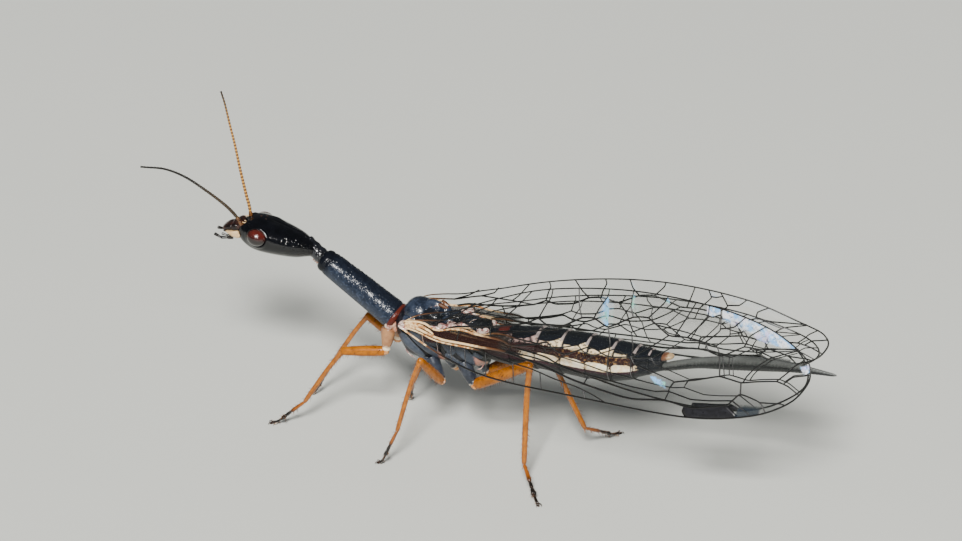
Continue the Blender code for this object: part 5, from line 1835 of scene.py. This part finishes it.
@dataclass(frozen=True)
class VeinFinish:
    """Veins: cream from the base out to a length, then brown, then black."""

    name: str
    cream: Colour = (0.76, 0.54, 0.29)
    amber: Colour = (0.36, 0.15, 0.045)
    brown: Colour = (0.1, 0.04, 0.015)
    black: Colour = (0.003, 0.003, 0.003)
    limit: float = 1.9

    def material(self) -> Material:
        """Returns the finished material, which reads the length along the wing."""
        paint = Paint(self.name)
        u, v, _ = paint.plan()
        rim = v.rise(-0.27, -0.36)
        along = u + (paint.noise(0.12) - 0.5) * 0.5 + rim * (self.limit - 0.35)
        cream = paint.mix((paint.noise(0.06) + (v * 40.0).wave() * 0.12).rise(0.48, 0.66), self.cream, self.amber)
        colour = paint.mix(along.rise(self.limit - 0.25, self.limit + 0.15), cream, self.brown)
        colour = paint.mix(along.rise(self.limit, self.limit + 0.8), colour, self.black)
        normal = paint.bump(paint.noise(0.02, 3.0), 0.003)
        return paint.finish(Base_Color=colour, Roughness=0.33, Normal=normal)


# The place where it is shown


@dataclass
class Studio:
    """A pale floor, soft lights and the camera."""

    target: Point = (-0.000653, 0.000162, 0.00408)
    back: Point = (0.3766, -0.8075, 0.454)
    distance: float = 0.2
    lens: float = 368.2
    sensor: float = 36.0
    floor_size: float = 0.9

    def floor(self) -> None:
        """Lays the floor, which belongs to the stage."""
        half = self.floor_size / 2
        mesh = bpy.data.meshes.new("floor")
        mesh.from_pydata([(-half, -half, 0), (half, -half, 0), (half, half, 0), (-half, half, 0)], [], [(0, 1, 2, 3)])
        paint = Paint("floor")
        tone = paint.mix(paint.noise(6.0), (0.56, 0.58, 0.54), (0.59, 0.6, 0.56))
        mesh.materials.append(paint.finish(Base_Color=tone, Roughness=0.75))
        linked("floor", mesh)

    def aim(self, made: Piece, direction: Point, distance: float) -> None:
        """Hangs a lamp or the camera in a direction from the target, and turns it there."""
        away = Vector(direction).normalized()
        made.location = Vector(self.target) + away * distance
        made.rotation_euler = away.to_track_quat("Z", "Y").to_euler()

    def light(self, name: str, direction: Point, distance: float, size: float, power: float, colour: Colour,
              mirrored: bool = False) -> None:
        """Hangs one soft square light that faces the target.

        Args:
            name: The light's name.
            direction: Where it hangs, from the target.
            distance: How far away it is, in metres.
            size: Its side, in metres.
            power: Its power in watts.
            colour: Its colour.
            mirrored: Whether glossy pieces mirror it.
        """
        lamp = bpy.data.lights.new(name, "AREA")
        lamp.size = size
        lamp.energy = power
        lamp.color = colour
        made = linked(name, lamp)
        made.visible_glossy = mirrored
        self.aim(made, direction, distance)

    def camera(self) -> None:
        """Sets the camera at the photograph's angle."""
        lens = bpy.data.cameras.new("camera")
        lens.lens = self.lens
        lens.sensor_width = self.sensor
        lens.clip_start = 0.001
        lens.clip_end = 10.0
        made = linked("camera", lens)
        self.aim(made, self.back, self.distance)
        bpy.context.scene.camera = made

    def build(self) -> None:
        """Sets up the floor, the lights, the air and the camera."""
        self.floor()
        self.light("key", (0.24, -0.72, 0.68), 0.32, 0.065, 2.4, (1.0, 0.98, 0.95), True)
        self.light("fill", (-0.8, -0.45, 0.4), 0.4, 0.25, 0.22, (0.93, 0.96, 1.0))
        self.light("rim", (0.1, 0.85, 0.8), 0.4, 0.35, 0.2, (1.0, 1.0, 1.0))
        world = bpy.data.worlds.new("air")
        world.use_nodes = True
        world.node_tree.nodes["Background"].inputs["Color"].default_value = (0.86, 0.9, 0.95, 1.0)
        world.node_tree.nodes["Background"].inputs["Strength"].default_value = 0.12
        bpy.context.scene.world = world
        self.camera()


# The whole animal


LEGS = (
    Leg("front_left", (2.43, -0.2, 2.42), (2.41, -0.3, 1.94), (1.535, -0.5, 1.84), (0.76, -0.72, 0.6),
        (0.02, -0.91, 0.0), True, femur_radius=0.103),
    Leg("mid_left", (3.42, -0.28, 2.02), (3.7, -0.35, 1.55), (3.62, -1.22, 2.41), (3.24, -1.52, 0.85),
        (2.8, -1.54, 0.0)),
    Leg("hind_left", (4.14, -0.26, 2.05), (4.43, -0.33, 1.62), (5.81, -0.62, 2.515), (5.91, -1.12, 0.5),
        (6.6, -1.87, 0.0), femur_radius=0.118, tibia_radius=0.063),
    Leg("front_right", (2.43, 0.2, 2.42), (2.41, 0.3, 1.94), (1.47, 0.82, 2.02), (0.71, 0.72, 0.82),
        (0.21, 0.59, 0.0), True, femur_radius=0.103),
    Leg("mid_right", (3.42, 0.28, 2.02), (3.7, 0.35, 1.55), (3.0, 1.0, 1.93), (2.49, 0.83, 0.7), (2.14, 1.35, 0.0)),
    Leg("hind_right", (4.14, 0.26, 2.05), (4.43, 0.33, 1.62), (5.57, 0.62, 2.43), (6.44, 0.7, 0.574),
        (6.8, 1.83, 0.0), femur_radius=0.112, tibia_radius=0.058),
)
FEELERS = (
    Feeler(Side.LEFT, ((-0.72, -0.5, 4.2), (-0.84, -0.54, 4.42), (-0.98, -0.79, 4.78), (-1.25, -1.16, 5.24),
        (-1.52, -1.52, 5.64), (-1.81, -1.84, 5.9), (-2.13, -2.15, 6.02))),
    Feeler(Side.RIGHT, ((-0.65, -0.27, 4.2), (-0.69, -0.24, 4.5), (-0.81, -0.17, 4.79), (-1.01, -0.02, 5.23),
        (-1.2, 0.13, 5.69), (-1.37, 0.25, 6.06), (-1.54, 0.38, 6.43), (-1.64, 0.44, 6.62))),
)


def build_head() -> None:
    """Builds the head, its eyes, its mouthparts and the feelers."""
    head = Head()
    black = HeadFinish("head black", (0.001, 0.0012, 0.002), (0.0022, 0.0025, 0.004), 0.11, 0.2, 0.045, 0.005,
                       0.022, 0.002, 0.1, 0.45)
    brown = Cuticle("lip brown", (0.006, 0.004, 0.004), (0.03, 0.01, 0.007), 0.22, 0.09, shine=0.4)
    cream = Cuticle("cheek cream", (0.66, 0.47, 0.26), (0.56, 0.36, 0.17), 0.35, 0.1)
    amber = TippedCuticle("jaw", (0.2, 0.06, 0.02), (0.12, 0.03, 0.012), 0.25, tip=(0.02, 0.008, 0.005), start=0.6)
    palp = Cuticle("palp black", (0.003, 0.003, 0.004), (0.01, 0.008, 0.007), 0.22)
    glass = Cuticle("simple eye", (0.02, 0.01, 0.006), (0.035, 0.016, 0.01), 0.08, coat=0.6)
    set_piece(head.capsule(black.material()), "black_cuticle", ["head"])
    set_piece(head.simple_eyes(glass.material()), "eye")
    eye = EyeFinish().material()
    lip, cheek, jaw, hair = brown.material(), cream.material(), amber.material(), palp.material()
    set_piece(head.face(lip), "brown_cuticle", ["mouth"])
    set_piece(head.cheeks(cheek), "cream_cuticle")
    set_piece(head.cheek_edges(cheek), "cream_cuticle")
    for side in Side:
        set_piece(head.eye(side, eye), "eye", ["eye_" + side.value])
        set_piece(head.jaw(side, jaw), "cream_cuticle", ["mandible_" + side.value])
        set_piece(head.palps(side, hair), "black_cuticle", ["palp_" + side.value])
    tree = bead_tree()
    # The near (left) feeler is a much darker copy of the far one's finish: painted shade.
    finishes = (
        FeelerFinish("feeler painted shade", (0.07, 0.042, 0.012), (0.022, 0.012, 0.006), (0.005, 0.004, 0.003), 0.45),
        FeelerFinish("feeler banded", (0.62, 0.3, 0.035), (0.1, 0.04, 0.01), (0.006, 0.004, 0.003), 0.9, 0.42),
    )
    base = Cuticle("feeler base", (0.035, 0.012, 0.005), (0.14, 0.055, 0.01), 0.28, 0.08, coat=0.2)
    root = base.material()
    for feeler, finish in zip(FEELERS, finishes):
        node = "antenna_" + feeler.side.value
        set_piece(feeler.base(root), "feeler", [node + "_scape"])
        lengths = [node + "_flagellum_inner", node + "_flagellum_outer"]
        set_piece(feeler.thread(tree, finish.material()), "feeler", lengths)


def build_trunk() -> None:
    """Builds the neck, the prothorax and the thorax."""
    neck_black = Cuticle("neck black", (0.003, 0.0035, 0.005), (0.008, 0.009, 0.013), 0.2, 0.1, 0.045, 0.006, 0.02,
                         0.003, 0.4)
    skin = Cuticle("pale skin", (0.34, 0.12, 0.075), (0.5, 0.3, 0.2), 0.4, 0.07, grain_depth=0.004)
    shield = ShieldFinish("shield", (0.009, 0.013, 0.023), (0.018, 0.025, 0.04), 0.22, 0.1, 0.045, 0.0018, 0.017,
                          0.001, 0.0, 0.2)
    pale, dark = skin.material(), neck_black.material()
    for piece, slot, nodes in zip(Neck().build(dark, pale), ("black_cuticle", "cream_cuticle"), (["neck"], [])):
        set_piece(piece, slot, nodes)
    prothorax = Prothorax()
    set_piece(prothorax.shield(shield.material()), "slate_cuticle", ["prothorax"])
    set_piece(prothorax.collar(pale), "cream_cuticle")
    thorax = Thorax()
    seam = Cuticle("seam", (0.003, 0.004, 0.006), (0.012, 0.012, 0.016), 0.34, 0.12, shine=0.35)
    plates = PlatesFinish("plates", (0.022, 0.031, 0.05), (0.044, 0.056, 0.08), 0.4, 0.1, 0.03, 0.003, 0.012,
                          0.003, 0.1)
    back = BackFinish("back", (0.008, 0.012, 0.022), (0.024, 0.033, 0.054), 0.24, 0.14, 0.05, 0.004, 0.02, 0.003,
                      0.3, 0.45)
    hinge = Cuticle("hinge", (0.84, 0.7, 0.6), (0.3, 0.11, 0.1), 0.26, 0.07, 0.07, 0.02, coat=0.3)
    tuft = Cuticle("tuft", (0.15, 0.055, 0.016), (0.04, 0.016, 0.009), 0.5, 0.03)
    set_piece(thorax.skin(seam.material()), "slate_cuticle", ["mesothorax", "metathorax"])
    set_piece(thorax.back_lobes(back.material()), "slate_cuticle")
    set_piece(thorax.back_tufts(tuft.material()), "brown_cuticle")
    plate, pink = plates.material(), hinge.material()
    for side in Side:
        set_piece(thorax.side_plates(side, plate), "slate_cuticle")
        set_piece(thorax.wing_hinges(side, pink), "cream_cuticle")


def build_abdomen() -> None:
    """Builds the abdomen, its end plates and the egg-laying tube."""
    abdomen = Abdomen()
    tan = TippedCuticle("tan tip", (0.22, 0.1, 0.05), (0.12, 0.045, 0.025), 0.3, 0.06, tip=(0.5, 0.34, 0.18),
                        start=0.55)
    set_piece(abdomen.rings(RingsFinish().material()), "abdomen", ["abdomen"])
    set_piece(abdomen.tip(tan.material()), "tan_cuticle", ["ectoproct"])
    set_piece(abdomen.egg_tube(TubeFinish().material()), "grey_cuticle", ["ovipositor"])


def build_legs() -> None:
    """Builds the six legs."""
    front_coxa = TippedCuticle("front coxa", (0.34, 0.17, 0.075), (0.22, 0.09, 0.04), 0.32, tip=(0.74, 0.62, 0.44),
                               start=0.8)
    dark_coxa = TippedCuticle("dark coxa", (0.012, 0.016, 0.026), (0.03, 0.037, 0.054), 0.36, tip=(0.7, 0.58, 0.44),
                              start=0.93, soft=0.04)
    hinge = Cuticle("trochanter", (0.56, 0.3, 0.12), (0.42, 0.14, 0.03), 0.3, 0.05)
    orange = Cuticle("leg orange", (0.35, 0.108, 0.0), (0.26, 0.076, 0.0), 0.34, 0.12, 0.0, 0.0, 0.02, 0.003, shine=0.3)
    shin = TippedCuticle("shin", (0.35, 0.108, 0.0), (0.24, 0.066, 0.0), 0.2, grain=0.035, grain_depth=0.012, coat=0.4,
                         tip=(0.18, 0.05, 0.006), start=0.95)
    claw = Cuticle("claw", (0.004, 0.003, 0.003), (0.05, 0.018, 0.008), 0.25, 0.05)
    foot = FootFinish("foot", (0.004, 0.0035, 0.003), (0.012, 0.007, 0.005), 0.3, 0.06, 0.0, 0.0, 0.012, 0.002, 0.2)
    pad = Cuticle("pad", (0.62, 0.54, 0.44), (0.3, 0.22, 0.16), 0.4, 0.04)
    hair = Cuticle("leg bristle", (0.2, 0.07, 0.01), (0.08, 0.03, 0.01), 0.35)
    finishes = (front_coxa, dark_coxa, hinge, orange, shin, foot, pad, hair, claw)
    tan, slate, joint, amber, glossy, black, sole, fine, horn = (finish.material() for finish in finishes)
    tree = bristle_tree()
    for number, leg in enumerate(LEGS):
        set_piece(leg.coxa(tan if leg.front else slate), "coxa", ["coxa_" + leg.name])
        set_piece(leg.hinge(joint), "coxa")
        femur = set_piece(leg.femur(amber), "orange_leg", ["femur_" + leg.name])
        tibia = set_piece(leg.tibia(glossy), "orange_leg", ["tibia_" + leg.name])
        foot_piece = set_piece(leg.foot(black), "dark_foot", ["tarsus_" + leg.name])
        set_piece(leg.pads(sole), "dark_foot")
        set_piece(leg.claws(horn), "dark_foot")
        for source in (femur, tibia, foot_piece):
            set_piece(leg.bristles(tree, source, number, fine), "orange_leg")
    ball = Cuticle("coxal ball", (0.2, 0.045, 0.03), (0.62, 0.48, 0.38), 0.25, 0.09, coat=0.4)
    set_piece(Prothorax().coxal_balls(ball.material()), "coxa")


def build_wings() -> None:
    """Builds the four wings."""
    tree = vein_tree()
    membrane = MembraneFinish("membrane").material()
    still = MembraneFinish("hind membrane", sheen=0.0, clear=0.028).material()
    main, net = VeinFinish("main veins").material(), VeinFinish("net veins", limit=0.2).material()
    stigma = Cuticle("spot", (0.006, 0.006, 0.007), (0.012, 0.012, 0.015), 0.3, 0.08)
    dark = stigma.material()
    for side in Side:
        right = side is Side.RIGHT
        for pair in Pair:
            wing = Wing(pair, side, lift=HINDWING_LIFT if pair is Pair.HIND else 0.0, **(FAR_WINGS if right else {}))
            node = f"{pair.value}_{side.value}"
            # Only the near forewing carries the painted reflections; the other wings have none.
            set_piece(wing.membrane(membrane if pair is Pair.FORE and not right else still), "wing", [node])
            set_piece(wing.network(tree, True, main), "wing")
            set_piece(wing.network(tree, False, net), "wing")
            set_piece(wing.spot(dark), "wing")


def main() -> None:
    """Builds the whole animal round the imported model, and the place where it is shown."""
    logging.basicConfig(level=logging.INFO, format="%(message)s")
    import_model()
    for step in (build_head, build_trunk, build_abdomen, build_legs, build_wings):
        step()
    Studio().build()
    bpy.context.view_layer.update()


if __name__ == "__main__":
    main()
